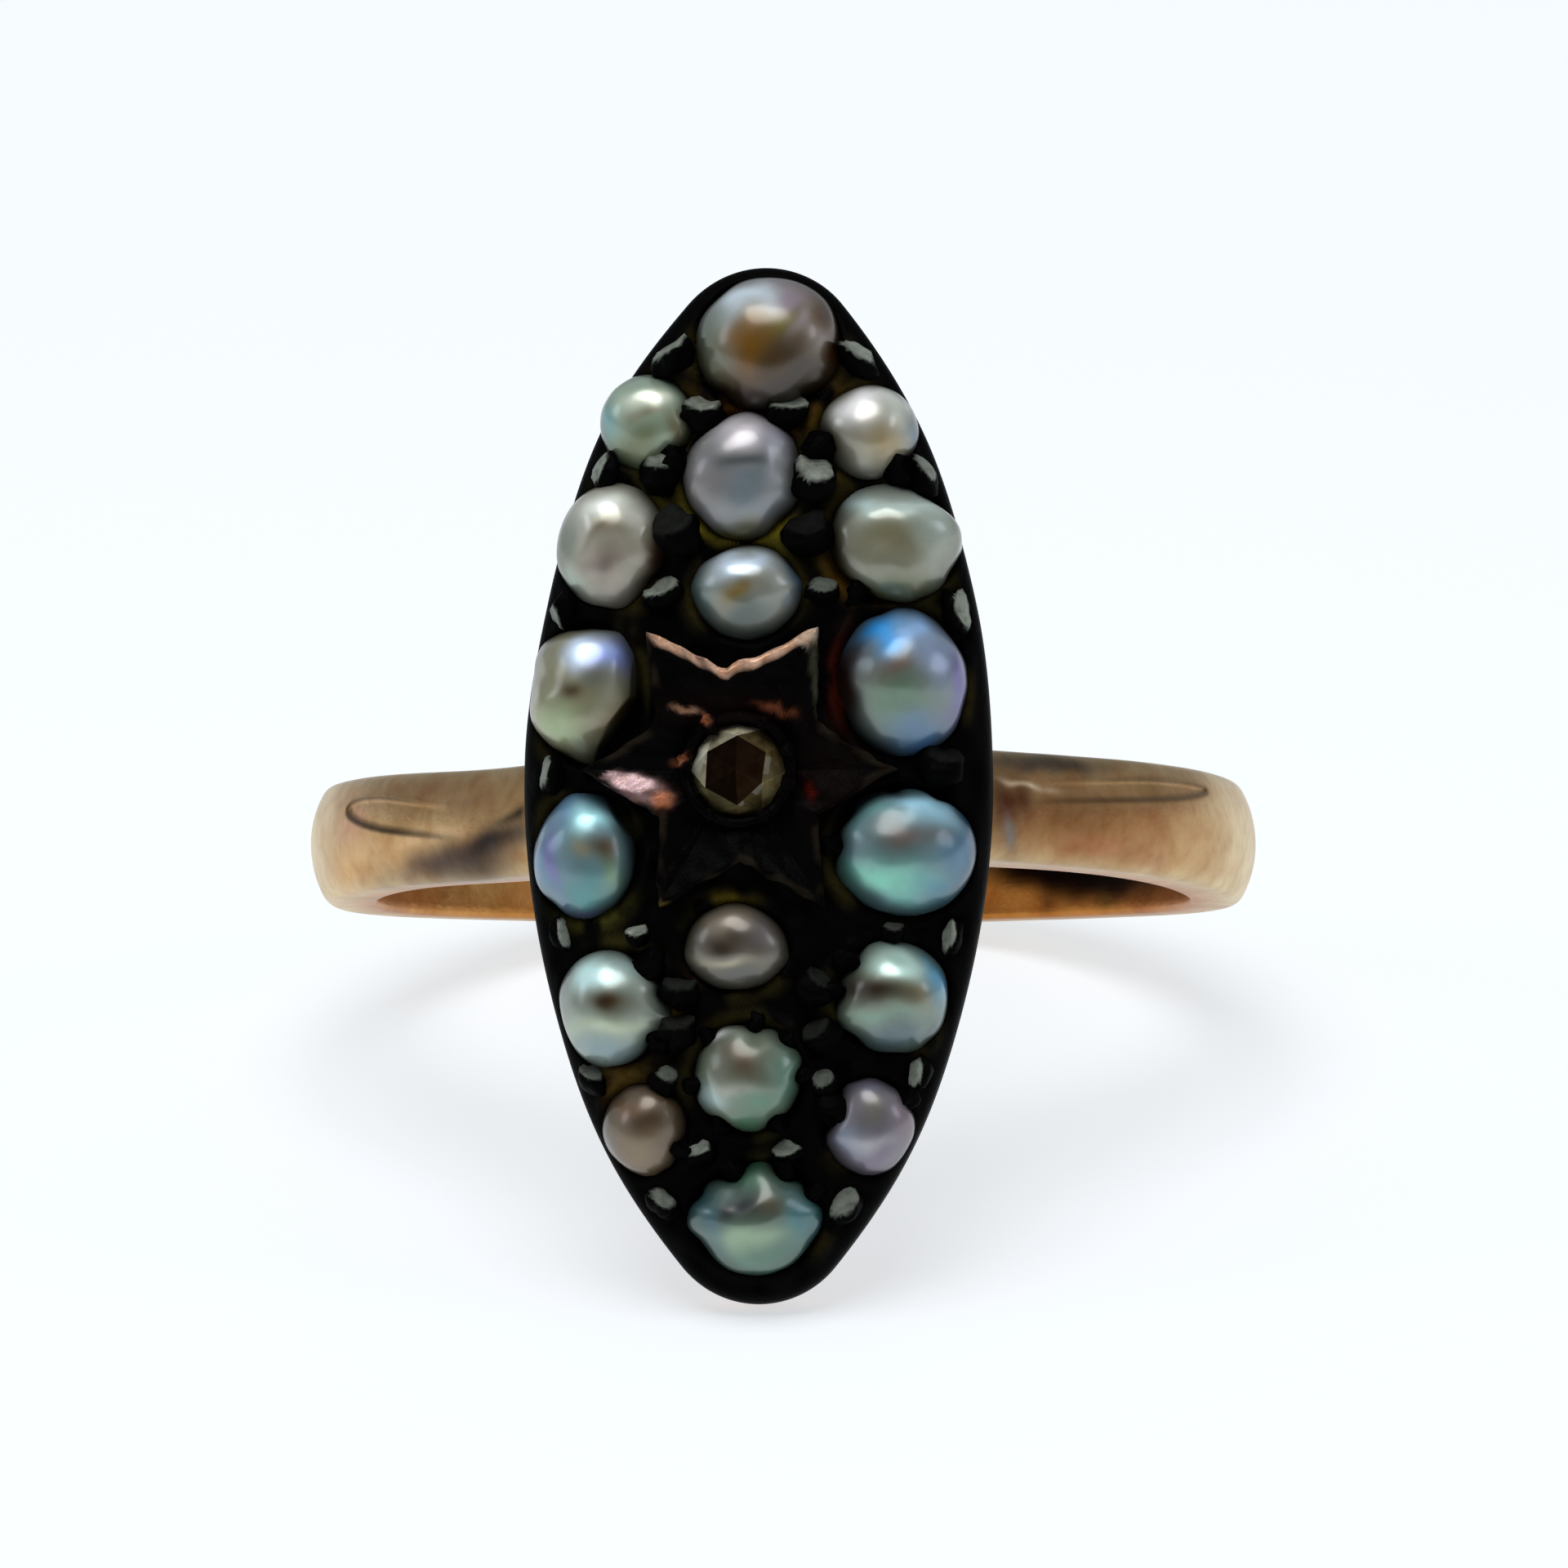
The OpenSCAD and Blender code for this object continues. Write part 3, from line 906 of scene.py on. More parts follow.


# One look for each pearl, in the order of their nodes, from the upper tip down. Besides the nacre's own
# colours, the patches hold painted highlights (the whitish ones high on each pearl), painted reflections
# (the dark brown spots near the middle) and painted shade at the borders.
PEARL_LOOKS = [
    pearl_look(
        (0.50, 0.45, 0.37),
        Patch(-0.34, 0.58, 0.56, 0.34, (0.88, 0.94, 0.98), 0.95, 25),
        Patch(0.32, 0.64, 0.28, 0.26, (0.64, 0.58, 0.64), 0.8),
        Patch(-0.80, 0.0, 0.22, 0.45, (0.48, 0.54, 0.48), 0.8),
        Patch(0.14, 0.10, 0.30, 0.26, (0.52, 0.50, 0.30), 0.9),
        Patch(0.3, -0.62, 0.7, 0.44, (0.28, 0.21, 0.11), 0.95),
        Patch(-0.22, -0.26, 0.30, 0.62, (0.54, 0.41, 0.16), 1.0),
        Patch(0.56, 0.14, 0.16, 0.30, (0.66, 0.63, 0.64), 0.7, -20),
        Patch(0.98, 0.05, 0.20, 0.5, (0.40, 0.25, 0.12), 0.9),
        Patch(0.0, -0.95, 1.0, 0.42, (0.16, 0.10, 0.04), 0.9),
        bites=((-128, 0.09, 14), (-58, 0.09, 14)),
        lumps=0.02,
        grow=(1.15, 1.02),
        shift=(0.08, 0),
    ),
    pearl_look(
        (0.64, 0.70, 0.64),
        Patch(-0.82, 0.0, 0.28, 0.6, (0.50, 0.65, 0.66), 0.85),
        Patch(-0.20, -0.60, 0.60, 0.38, (0.48, 0.50, 0.36), 0.85),
        Patch(0.10, -0.02, 0.45, 0.15, (0.55, 0.52, 0.42), 0.7),
        Patch(0.19, 0.36, 0.42, 0.24, (0.97, 0.98, 0.92), 0.95, 8),
        Patch(0.80, -0.25, 0.25, 0.35, (0.46, 0.42, 0.26), 0.8),
        bites=((228, -0.10, 16), (-52, 0.18, 22), (8, 0.12, 16)),
        dents=((0.05, 0.05, 0.3, 0.05),),
        grow=(1.1, 1.03),
        shift=(-0.03, 0.05),
    ),
    pearl_look(
        (0.66, 0.66, 0.62),
        Patch(0.97, -0.05, 0.25, 0.6, (0.46, 0.56, 0.62), 0.85),
        Patch(0.43, 0.42, 0.35, 0.28, (0.86, 0.89, 0.86), 0.8, -25),
        Patch(0.13, -0.30, 0.50, 0.45, (0.66, 0.60, 0.46), 0.9),
        Patch(-0.32, 0.48, 0.45, 0.32, (1.0, 1.0, 1.0), 0.95, 20),
        Patch(-0.85, -0.25, 0.30, 0.45, (0.26, 0.20, 0.08), 0.9),
        bites=((-55, 0.15, 22), (200, 0.10, 22)),
        lumps=0.04,
        grow=(1.09, 1.0),
    ),
    pearl_look(
        (0.58, 0.58, 0.58),
        Patch(0.0, 0.62, 0.55, 0.28, (0.84, 0.82, 0.84), 0.95),
        Patch(0.64, 0.48, 0.28, 0.28, (0.68, 0.68, 0.72), 0.8),
        Patch(0.05, 0.12, 0.55, 0.13, (0.34, 0.36, 0.36), 0.8, -6),
        Patch(0.14, -0.36, 0.42, 0.36, (0.52, 0.58, 0.61), 0.8),
        Patch(-0.77, -0.13, 0.25, 0.4, (0.56, 0.54, 0.54), 0.7),
        Patch(0.0, -0.98, 0.6, 0.16, (0.42, 0.40, 0.18), 0.9),
        bites=((124, 0.08, 18), (56, 0.08, 18), (-4, 0.05, 13), (-132, 0.08, 16), (-46, 0.08, 16)),
        dents=((0.05, -0.05, 0.4, 0.07),),
        grow=(1.1, 1.09),
    ),
    pearl_look(
        (0.66, 0.65, 0.60),
        Patch(-0.58, -0.59, 0.35, 0.3, (0.70, 0.77, 0.72), 0.8),
        Patch(0.02, -0.42, 0.45, 0.36, (0.66, 0.62, 0.58), 0.8),
        Patch(0.05, -0.40, 0.16, 0.14, (0.50, 0.46, 0.44), 0.6),
        Patch(0.10, 0.26, 0.35, 0.10, (0.80, 0.78, 0.70), 0.7, 20),
        Patch(0.10, 0.10, 0.30, 0.09, (0.46, 0.40, 0.28), 0.7, 24),
        Patch(0.05, 0.55, 0.58, 0.26, (0.98, 1.0, 0.97), 0.95, 12),
        Patch(-0.75, 0.1, 0.22, 0.4, (0.52, 0.56, 0.52), 0.7),
        Patch(0.95, -0.25, 0.2, 0.5, (0.42, 0.28, 0.16), 0.9),
        bites=((4, 0.06, 20), (-46, 0.07, 18)),
        lumps=0.03,
        grow=(1.1, 1.04),
        shift=(0, 0.12),
    ),
    pearl_look(
        (0.62, 0.63, 0.58),
        Patch(0.55, 0.25, 0.28, 0.55, (0.68, 0.74, 0.72), 0.8),
        Patch(-0.08, -0.06, 0.55, 0.48, (0.54, 0.52, 0.41), 0.85),
        Patch(0.05, 0.68, 0.7, 0.26, (0.80, 0.86, 0.84), 0.8),
        Patch(-0.58, 0.54, 0.26, 0.22, (0.88, 0.96, 0.95), 0.95),
        Patch(0.1, -0.85, 0.7, 0.2, (0.42, 0.44, 0.28), 0.8),
        Patch(-0.92, -0.08, 0.25, 0.45, (0.24, 0.20, 0.10), 0.85),
        bites=((182, 0.06, 16), (-122, 0.10, 12), (-66, 0.05, 12)),
        lumps=0.04,
        grow=(1.05, 1.05),
    ),
    pearl_look(
        (0.60, 0.61, 0.58),
        Patch(-0.79, -0.1, 0.25, 0.5, (0.34, 0.45, 0.45), 0.8),
        Patch(0.97, 0.05, 0.2, 0.4, (0.36, 0.50, 0.62), 0.9),
        Patch(0.0, -0.72, 0.8, 0.40, (0.34, 0.40, 0.38), 0.85),
        Patch(-0.08, 0.55, 0.55, 0.3, (0.88, 0.94, 1.0), 0.95),
        Patch(0.30, 0.0, 0.3, 0.3, (0.60, 0.60, 0.56), 0.6),
        Patch(-0.14, -0.10, 0.26, 0.24, (0.54, 0.47, 0.24), 0.95),
        bites=((176, -0.07, 11), (8, -0.07, 11), (-90, -0.06, 18), (128, 0.05, 14)),
        dents=((-0.14, -0.1, 0.25, 0.05),),
        grow=(1.0, 1.03),
    ),
    pearl_look(
        (0.60, 0.59, 0.50),
        Patch(-0.27, -0.45, 0.42, 0.32, (0.66, 0.72, 0.58), 0.85),
        Patch(0.65, 0.55, 0.3, 0.3, (0.58, 0.66, 0.92), 0.9),
        Patch(0.22, 0.56, 0.36, 0.24, (0.86, 0.92, 1.0), 0.95),
        Patch(-0.08, 0.0, 0.32, 0.15, (0.34, 0.27, 0.15), 0.9),
        Patch(0.5, 0.1, 0.25, 0.2, (0.48, 0.50, 0.46), 0.7),
        Patch(0.80, -0.32, 0.12, 0.3, (0.46, 0.34, 0.14), 0.9, -35),
        Patch(-0.8, 0.2, 0.2, 0.5, (0.54, 0.52, 0.44), 0.6),
        bites=((48, -0.10, 16),),
        cuts=((0, 0.88), (-38, 0.74)),
        lumps=0.04,
        grow=(1.09, 1.09),
        shift=(-0.03, 0.03),
    ),
    pearl_look(
        (0.52, 0.55, 0.54),
        Patch(0.40, 0.35, 0.4, 0.4, (0.58, 0.64, 0.74), 0.8),
        Patch(-0.30, -0.36, 0.50, 0.36, (0.45, 0.57, 0.47), 0.8),
        Patch(0.82, -0.22, 0.26, 0.5, (0.46, 0.42, 0.66), 0.9),
        Patch(0.15, -0.82, 0.5, 0.24, (0.36, 0.54, 0.72), 0.85),
        Patch(-0.25, 0.14, 0.30, 0.26, (0.50, 0.43, 0.38), 0.85),
        Patch(-0.45, 0.62, 0.42, 0.24, (0.32, 0.74, 1.0), 0.95, 22),
        Patch(0.15, 0.76, 0.35, 0.18, (0.68, 0.82, 0.98), 0.8),
        # Painted shade where the pearl meets the star.
        Patch(-1.0, 0.05, 0.28, 0.5, (0.22, 0.06, 0.03), 0.95),
        bites=((110, 0.04, 12), (205, 0.05, 18)),
        lumps=0.02,
        grow=(1.0, 1.08),
        shift=(-0.03, -0.03),
    ),
    pearl_look(
        (0.48, 0.58, 0.60),
        Patch(-0.76, 0.0, 0.36, 0.7, (0.42, 0.55, 0.66), 0.9),
        Patch(-0.36, -0.05, 0.16, 0.5, (0.52, 0.51, 0.68), 0.9),
        Patch(0.0, 0.72, 0.4, 0.25, (0.54, 0.68, 0.80), 0.8),
        Patch(0.30, 0.55, 0.24, 0.24, (0.78, 0.98, 1.0), 0.95, -35),
        Patch(0.24, 0.10, 0.18, 0.16, (0.64, 0.61, 0.50), 0.8),
        Patch(0.56, 0.02, 0.18, 0.2, (0.40, 0.28, 0.14), 0.9),
        Patch(0.65, -0.30, 0.25, 0.25, (0.56, 0.66, 0.54), 0.8),
        Patch(0.20, -0.55, 0.4, 0.25, (0.38, 0.62, 0.62), 0.85),
        Patch(0.0, -0.92, 0.5, 0.14, (0.50, 0.50, 0.64), 0.8),
        bites=((104, -0.08, 14), (-128, 0.06, 14), (-64, 0.05, 12)),
        cuts=((38, 0.86),),
        lumps=0.04,
        grow=(1.09, 1.04),
        shift=(-0.04, 0),
    ),
    pearl_look(
        (0.46, 0.56, 0.58),
        Patch(0.75, 0.05, 0.32, 0.6, (0.32, 0.49, 0.60), 0.9),
        Patch(-0.42, -0.45, 0.60, 0.28, (0.58, 0.84, 0.76), 0.9),
        Patch(0.30, -0.62, 0.4, 0.25, (0.36, 0.56, 0.62), 0.85),
        Patch(-0.10, 0.22, 0.45, 0.30, (0.46, 0.42, 0.39), 0.95),
        Patch(0.24, 0.70, 0.62, 0.20, (0.72, 0.88, 0.94), 0.95),
        Patch(-0.55, 0.55, 0.25, 0.2, (0.56, 0.76, 0.74), 0.7),
        Patch(0.95, 0.3, 0.12, 0.4, (0.22, 0.42, 0.56), 0.8),
        bites=((100, 0.08, 9), (62, 0.06, 9), (176, 0.10, 12), (146, 0.08, 14)),
        lumps=0.02,
        grow=(1.02, 1.05),
        shift=(-0.15, 0),
    ),
    pearl_look(
        (0.46, 0.44, 0.39),
        Patch(-0.15, 0.62, 0.5, 0.2, (0.60, 0.56, 0.50), 0.85),
        Patch(0.5, 0.2, 0.3, 0.4, (0.48, 0.45, 0.46), 0.7),
        Patch(-0.20, 0.22, 0.34, 0.28, (0.28, 0.22, 0.17), 0.9),
        Patch(-0.15, -0.28, 0.6, 0.16, (0.70, 0.68, 0.60), 0.9),
        Patch(0.0, -0.70, 0.6, 0.25, (0.42, 0.43, 0.42), 0.8),
        bites=((192, -0.05, 12), (-14, -0.05, 12)),
        dents=((-0.2, 0.2, 0.3, 0.04),),
        edge_dark=0.75,
        grow=(1.0, 1.02),
        shift=(-0.1, -0.02),
    ),
    pearl_look(
        (0.62, 0.66, 0.62),
        Patch(-0.80, 0.1, 0.25, 0.6, (0.52, 0.55, 0.52), 0.8),
        Patch(-0.12, 0.66, 0.5, 0.24, (0.88, 1.0, 1.0), 0.95),
        Patch(0.10, -0.30, 0.75, 0.16, (0.76, 0.80, 0.71), 0.9),
        Patch(0.05, -0.75, 0.55, 0.25, (0.56, 0.64, 0.66), 0.8),
        Patch(0.14, 0.14, 0.50, 0.22, (0.36, 0.28, 0.16), 0.95),
        Patch(0.02, 0.10, 0.25, 0.14, (0.28, 0.20, 0.10), 0.8),
        bites=((50, 0.20, 20), (14, 0.14, 9), (-14, -0.10, 9), (-38, 0.12, 13)),
        grow=(1.05, 1.0),
        shift=(-0.04, -0.05),
    ),
    pearl_look(
        (0.56, 0.60, 0.54),
        Patch(0.68, 0.35, 0.22, 0.45, (0.38, 0.66, 0.80), 0.9, 20),
        Patch(0.70, -0.5, 0.3, 0.3, (0.42, 0.48, 0.48), 0.8),
        Patch(-0.05, 0.66, 0.55, 0.22, (0.84, 0.95, 0.92), 0.9),
        Patch(0.22, 0.20, 0.3, 0.26, (0.54, 0.50, 0.40), 0.8),
        Patch(-0.40, -0.32, 0.6, 0.15, (0.56, 0.66, 0.60), 0.9),
        Patch(-0.05, -0.70, 0.6, 0.28, (0.36, 0.46, 0.50), 0.85),
        Patch(-0.50, 0.16, 0.52, 0.24, (0.26, 0.18, 0.10), 0.95),
        bites=((176, 0.10, 11), (140, 0.14, 16), (204, -0.08, 10), (228, 0.08, 12)),
        grow=(1.09, 1.02),
    ),
    pearl_look(
        (0.50, 0.54, 0.48),
        Patch(0.75, 0.0, 0.3, 0.5, (0.42, 0.56, 0.50), 0.8),
        Patch(-0.68, -0.29, 0.36, 0.25, (0.72, 0.80, 0.80), 0.9),
        Patch(-0.20, 0.28, 0.42, 0.32, (0.46, 0.40, 0.33), 0.95),
        Patch(-0.15, -0.20, 0.4, 0.13, (0.70, 0.70, 0.66), 0.85),
        Patch(0.25, -0.45, 0.35, 0.25, (0.42, 0.58, 0.50), 0.85),
        Patch(0.0, -0.85, 0.35, 0.2, (0.38, 0.54, 0.44), 0.8),
        Patch(-0.37, 0.74, 0.16, 0.08, (1.0, 1.0, 1.0), 0.95, 30),
        bites=(
            (82, 0.12, 10),
            (44, 0.12, 10),
            (2, 0.14, 10),
            (-58, 0.16, 12),
            (-120, 0.16, 12),
            (-170, 0.10, 9),
            (134, 0.12, 11),
        ),
        lumps=0.04,
        grow=(1.08, 1.06),
    ),
    pearl_look(
        (0.49, 0.43, 0.36),
        Patch(-0.15, 0.82, 0.4, 0.12, (0.58, 0.54, 0.50), 0.9),
        Patch(-0.2, 0.45, 0.35, 0.14, (0.54, 0.43, 0.32), 0.8),
        Patch(0.23, 0.25, 0.35, 0.25, (0.38, 0.33, 0.26), 0.85),
        Patch(-0.02, -0.40, 0.5, 0.35, (0.58, 0.52, 0.42), 0.85),
        Patch(-0.85, 0.0, 0.2, 0.6, (0.42, 0.40, 0.35), 0.7),
        bites=((58, 0.09, 18), (-28, 0.10, 12), (128, 0.06, 14), (-62, 0.04, 8)),
        edge_dark=0.65,
        grow=(1.04, 1.03),
    ),
    pearl_look(
        (0.52, 0.50, 0.53),
        Patch(-0.15, 0.75, 0.4, 0.18, (0.55, 0.55, 0.62), 0.8),
        Patch(-0.05, 0.35, 0.32, 0.28, (0.52, 0.52, 0.48), 0.85),
        Patch(0.75, 0.1, 0.25, 0.4, (0.55, 0.48, 0.51), 0.8),
        Patch(-0.45, -0.22, 0.42, 0.22, (0.56, 0.60, 0.66), 0.9),
        Patch(-0.08, -0.26, 0.4, 0.14, (0.70, 0.69, 0.70), 0.8),
        Patch(0.05, -0.65, 0.4, 0.25, (0.54, 0.50, 0.57), 0.8),
        bites=((158, 0.44, 21), (34, 0.12, 13), (196, -0.05, 10)),
        grow=(1.02, 1.0),
    ),
    pearl_look(
        (0.40, 0.47, 0.43),
        Patch(-0.72, 0.0, 0.3, 0.7, (0.28, 0.44, 0.47), 0.9),
        Patch(0.75, 0.0, 0.3, 0.6, (0.31, 0.52, 0.54), 0.9),
        Patch(0.0, -0.75, 0.6, 0.25, (0.37, 0.53, 0.47), 0.85),
        Patch(-0.08, -0.36, 0.55, 0.24, (0.62, 0.70, 0.60), 0.95),
        Patch(0.17, 0.30, 0.35, 0.25, (0.44, 0.42, 0.36), 0.85),
        Patch(-0.29, 0.28, 0.22, 0.22, (0.15, 0.16, 0.18), 0.95),
        Patch(-0.08, 0.82, 0.2, 0.16, (0.36, 0.62, 0.48), 0.9),
        bites=((114, 0.30, 13), (64, 0.30, 13), (28, 0.10, 12), (156, 0.08, 10), (188, -0.05, 10)),
        dents=((-0.2, 0.3, 0.3, 0.05),),
        lumps=0.04,
        grow=(1.0, 0.98),
        shift=(0, -0.03),
    ),
]


@dataclass
class HalfPearl(Piece):
    """One baroque half pearl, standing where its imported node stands."""

    slot = Slot.NACRE
    node: str
    look: PearlLook
    seed: int
    middle: np.ndarray
    basis: np.ndarray
    half_w: float
    half_h: float
    dome: float
    around: int = 144
    rings: int = 44
    contrast: float = 1.35
    mean_light: float = 0.40
    soft: float = 0.012
    limit: float = 1.03
    limit_gain: float = 0.10
    lump_mm: float = 1.6
    fine_mm: float = 0.6
    fine_share: float = 0.12
    drift: float = 0.07
    drift_mm: float = 1.1
    # Share of the radius at which the painted edge shade starts.
    edge_from: float = 0.64

    @classmethod
    def from_node(
        cls,
        node: str,
        look: PearlLook,
        seed: int,
        points: np.ndarray,
        top: Bombe,
    ) -> HalfPearl:
        """Reads the place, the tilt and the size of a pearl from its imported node.

        Args:
            node: Name of the node.
            look: Colours and relief.
            seed: Seed of its relief.
            points: Corners of the node in the ring's frame.
            top: The bombé top that it is set square to.

        Returns:
            The pearl.
        """
        centre = (points.min(0) + points.max(0)) / 2
        basis = top.basis(centre[0], centre[1])
        local = points @ basis.T
        low, high = local.min(0), local.max(0)
        foot = np.array([*((low[:2] + high[:2]) / 2 + look.shift), low[2]])
        half_w, half_h = (high[:2] - low[:2]) / 2 * np.array(look.grow)
        return cls(node, look, seed, foot @ basis, basis, half_w, half_h, high[2] - low[2])

    @property
    def made(self) -> str:
        """Name of the new piece."""
        return f"{self.node}_nacre"

    def swell(self, unit: np.ndarray, turn: np.ndarray) -> np.ndarray:
        """How far each point is moved out, as a factor: lumps, dents and bites of the edge.

        Args:
            unit: Points of the unit half ball.
            turn: Angle of each point round the pearl.

        Returns:
            The factor for each point.
        """
        size = np.array([self.half_w, self.half_h, self.dome])
        low = unit[..., 0] ** 2 + unit[..., 1] ** 2
        lumps = self.look.lumps
        factor = 1 + lumps * ripple(unit * size + 3 * self.seed, self.lump_mm, seed=self.seed)
        factor = factor + self.fine_share * lumps * ripple(unit * size, self.fine_mm, seed=self.seed + 9)
        for x, y, reach, depth in self.look.dents:
            factor = factor - depth * bell(np.hypot(unit[..., 0] - x, unit[..., 1] - y), reach)
        for angle, depth, width in self.look.bites:
            away = (np.degrees(turn) - angle + 180) % 360 - 180
            factor = factor - depth * bell(away, width) * low**4
        return factor

    def skin(self, unit: np.ndarray, places: np.ndarray) -> np.ndarray:
        """Paints the pearl: base, patches with drifting borders, among them painted highlights and painted
        reflections, and a painted shade at its edge.

        The contrast is raised about a mean light m as m (c / m)^contrast.

        Args:
            unit: Points of the unit half ball.
            places: Places in millimetres, which the drift follows.

        Returns:
            Linear colours.
        """
        a = unit[..., 0] + self.drift * ripple(places, self.drift_mm, seed=self.seed + 50)
        b = unit[..., 1] + self.drift * ripple(places, self.drift_mm, seed=self.seed + 70)
        skin = paint(np.broadcast_to(linear(self.look.base), unit.shape), self.look.patches, a, b)
        skin = self.mean_light * (skin / self.mean_light) ** self.contrast
        far = np.hypot(unit[..., 0], unit[..., 1])
        # Painted shade, darkening towards the pearl's border.
        dark = self.look.edge_dark * smooth_step(self.edge_from, 1.0, far) ** 2
        return skin * (1 - dark)[..., None]

    def shell(self) -> Shell:
        """Builds the pearl as half an ellipsoid with a seeded relief.

        A point lies at (w sin f cos t, h sin f sin t, d cos f), with f from 0 at the crown to
        a quarter turn at the flat back, times its swell. The swell s is held softly below a
        limit m, as -k ln(exp(-s / k) + exp(-m / k)). Past a cut a point is moved back onto it.

        Returns:
            The closed skin, in the ring's frame.
        """
        fall = np.linspace(0.02, 1, self.rings)[:, None] ** 0.9 * np.pi / 2
        turn = np.arange(self.around)[None, :] / self.around * 2 * np.pi + 0 * fall
        unit = ball(fall, turn)
        size = np.array([self.half_w, self.half_h, self.dome])
        limit = self.limit + self.limit_gain * (1 - unit[..., 2])
        factor = -self.soft * np.logaddexp(-self.swell(unit, turn) / self.soft, -limit / self.soft)
        body = unit * factor[..., None]
        for angle, distance in self.look.cuts:
            way = heading(angle)
            past = np.maximum(body[..., :2] @ way - distance, 0)
            body[..., :2] -= past[..., None] * way
        local = body * size
        local[-1, :, 2] = 0
        skin = self.skin(unit, unit * size + 7 * self.seed)
        return Shell.from_rings(local @ self.basis + self.middle, skin)


@dataclass(frozen=True)
class Grain:
    """A silver grain: its place as shares of the head's half sizes, and its form.

    gleam says how bright its worn top is painted: bare silver with a painted highlight. stretch says
    how long it is for its width, and turn the direction of its length in degrees.
    """

    across: float
    along: float
    size: float
    gleam: float = 0.6
    stretch: float = 1.0
    turn: float = 0.0


# The grains, from the upper tip down.
GRAINS = [
    Grain(-0.36, 0.82, 1.15, 0.8, 1.6, 50),
    Grain(0.42, 0.82, 1.15, 0.9, 1.6, -50),
    Grain(-0.23, 0.71, 1.1, 0.8, 1.1),
    Grain(0.13, 0.715, 1.1, 0.7, 1.3),
    Grain(-0.64, 0.60, 0.95, 0.8, 1.6, 65),
    Grain(-0.41, 0.595, 1.15, 0.7),
    Grain(0.25, 0.58, 1.35, 0.75),
    Grain(0.70, 0.59, 1.0, 0.7, 1.5, -65),
    Grain(-0.34, 0.48, 1.4, 0.04),
    Grain(0.22, 0.475, 1.35, 0.02),
    Grain(-0.39, 0.36, 1.0, 0.8, 1.3, 20),
    Grain(0.29, 0.365, 0.9, 0.35, 1.2),
    Grain(-0.82, 0.335, 0.9, 0.7, 1.5, 80),
    Grain(0.85, 0.33, 1.0, 0.9, 1.8, -80),
    Grain(-0.87, 0.015, 0.9, 0.8, 1.7, 88),
    Grain(0.78, 0.03, 1.3, 0.02),
    Grain(-0.83, -0.29, 0.75, 0.8, 1.6, -80),
    Grain(0.83, -0.30, 0.75, 0.9, 1.6, 80),
    Grain(-0.50, -0.295, 0.7, 0.9),
    Grain(0.58, -0.29, 0.7, 0.2),
    Grain(-0.32, -0.405, 1.1, 0.05),
    Grain(0.25, -0.40, 1.1, 0.05),
    Grain(-0.33, -0.48, 1.1, 0.05),
    Grain(0.28, -0.49, 1.1, 0.05),
    Grain(-0.70, -0.57, 0.85, 0.4, 1.5, -60),
    Grain(-0.39, -0.575, 0.85, 0.4),
    Grain(0.29, -0.58, 0.8, 0.3),
    Grain(0.69, -0.56, 0.8, 0.9, 1.5, 60),
    Grain(-0.24, -0.715, 0.8, 0.6, 1.2),
    Grain(0.13, -0.715, 0.8, 0.6, 1.2),
    Grain(-0.40, -0.81, 0.85, 0.4, 1.4, -45),
    Grain(0.38, -0.815, 0.95, 0.45, 1.5, 50),
]

# Residue on the silver, and one painted shadow beside a pearl, in millimetres across and along the finger.
DIRT_AND_SHADE = (
    Patch(0.2, 8.3, 1.2, 0.5, (0.42, 0.25, 0.08), 0.9),
    Patch(1.6, 7.4, 0.5, 0.9, (0.38, 0.33, 0.12), 0.9),
    Patch(-1.1, 5.9, 0.9, 0.5, (0.46, 0.42, 0.12), 0.9),
    Patch(0.3, 5.6, 0.9, 0.4, (0.46, 0.42, 0.12), 0.9),
    Patch(1.9, 4.7, 0.6, 0.6, (0.36, 0.26, 0.08), 0.9),
    Patch(-1.7, 7.8, 0.4, 0.6, (0.36, 0.32, 0.14), 0.8),
    Patch(-1.7, -4.3, 0.4, 0.5, (0.44, 0.34, 0.14), 0.7),
    Patch(-2.8, -5.75, 0.5, 0.4, (0.42, 0.33, 0.14), 0.8),
    # Painted shade: the dark red shaded border of the pearl beside the star.
    Patch(1.75, 2.4, 0.4, 0.8, (0.30, 0.10, 0.05), 0.8),
    Patch(-3.0, -2.5, 0.9, 0.4, (0.36, 0.34, 0.14), 0.8),
    Patch(-0.8, -1.9, 0.7, 0.3, (0.42, 0.36, 0.10), 0.9),
)


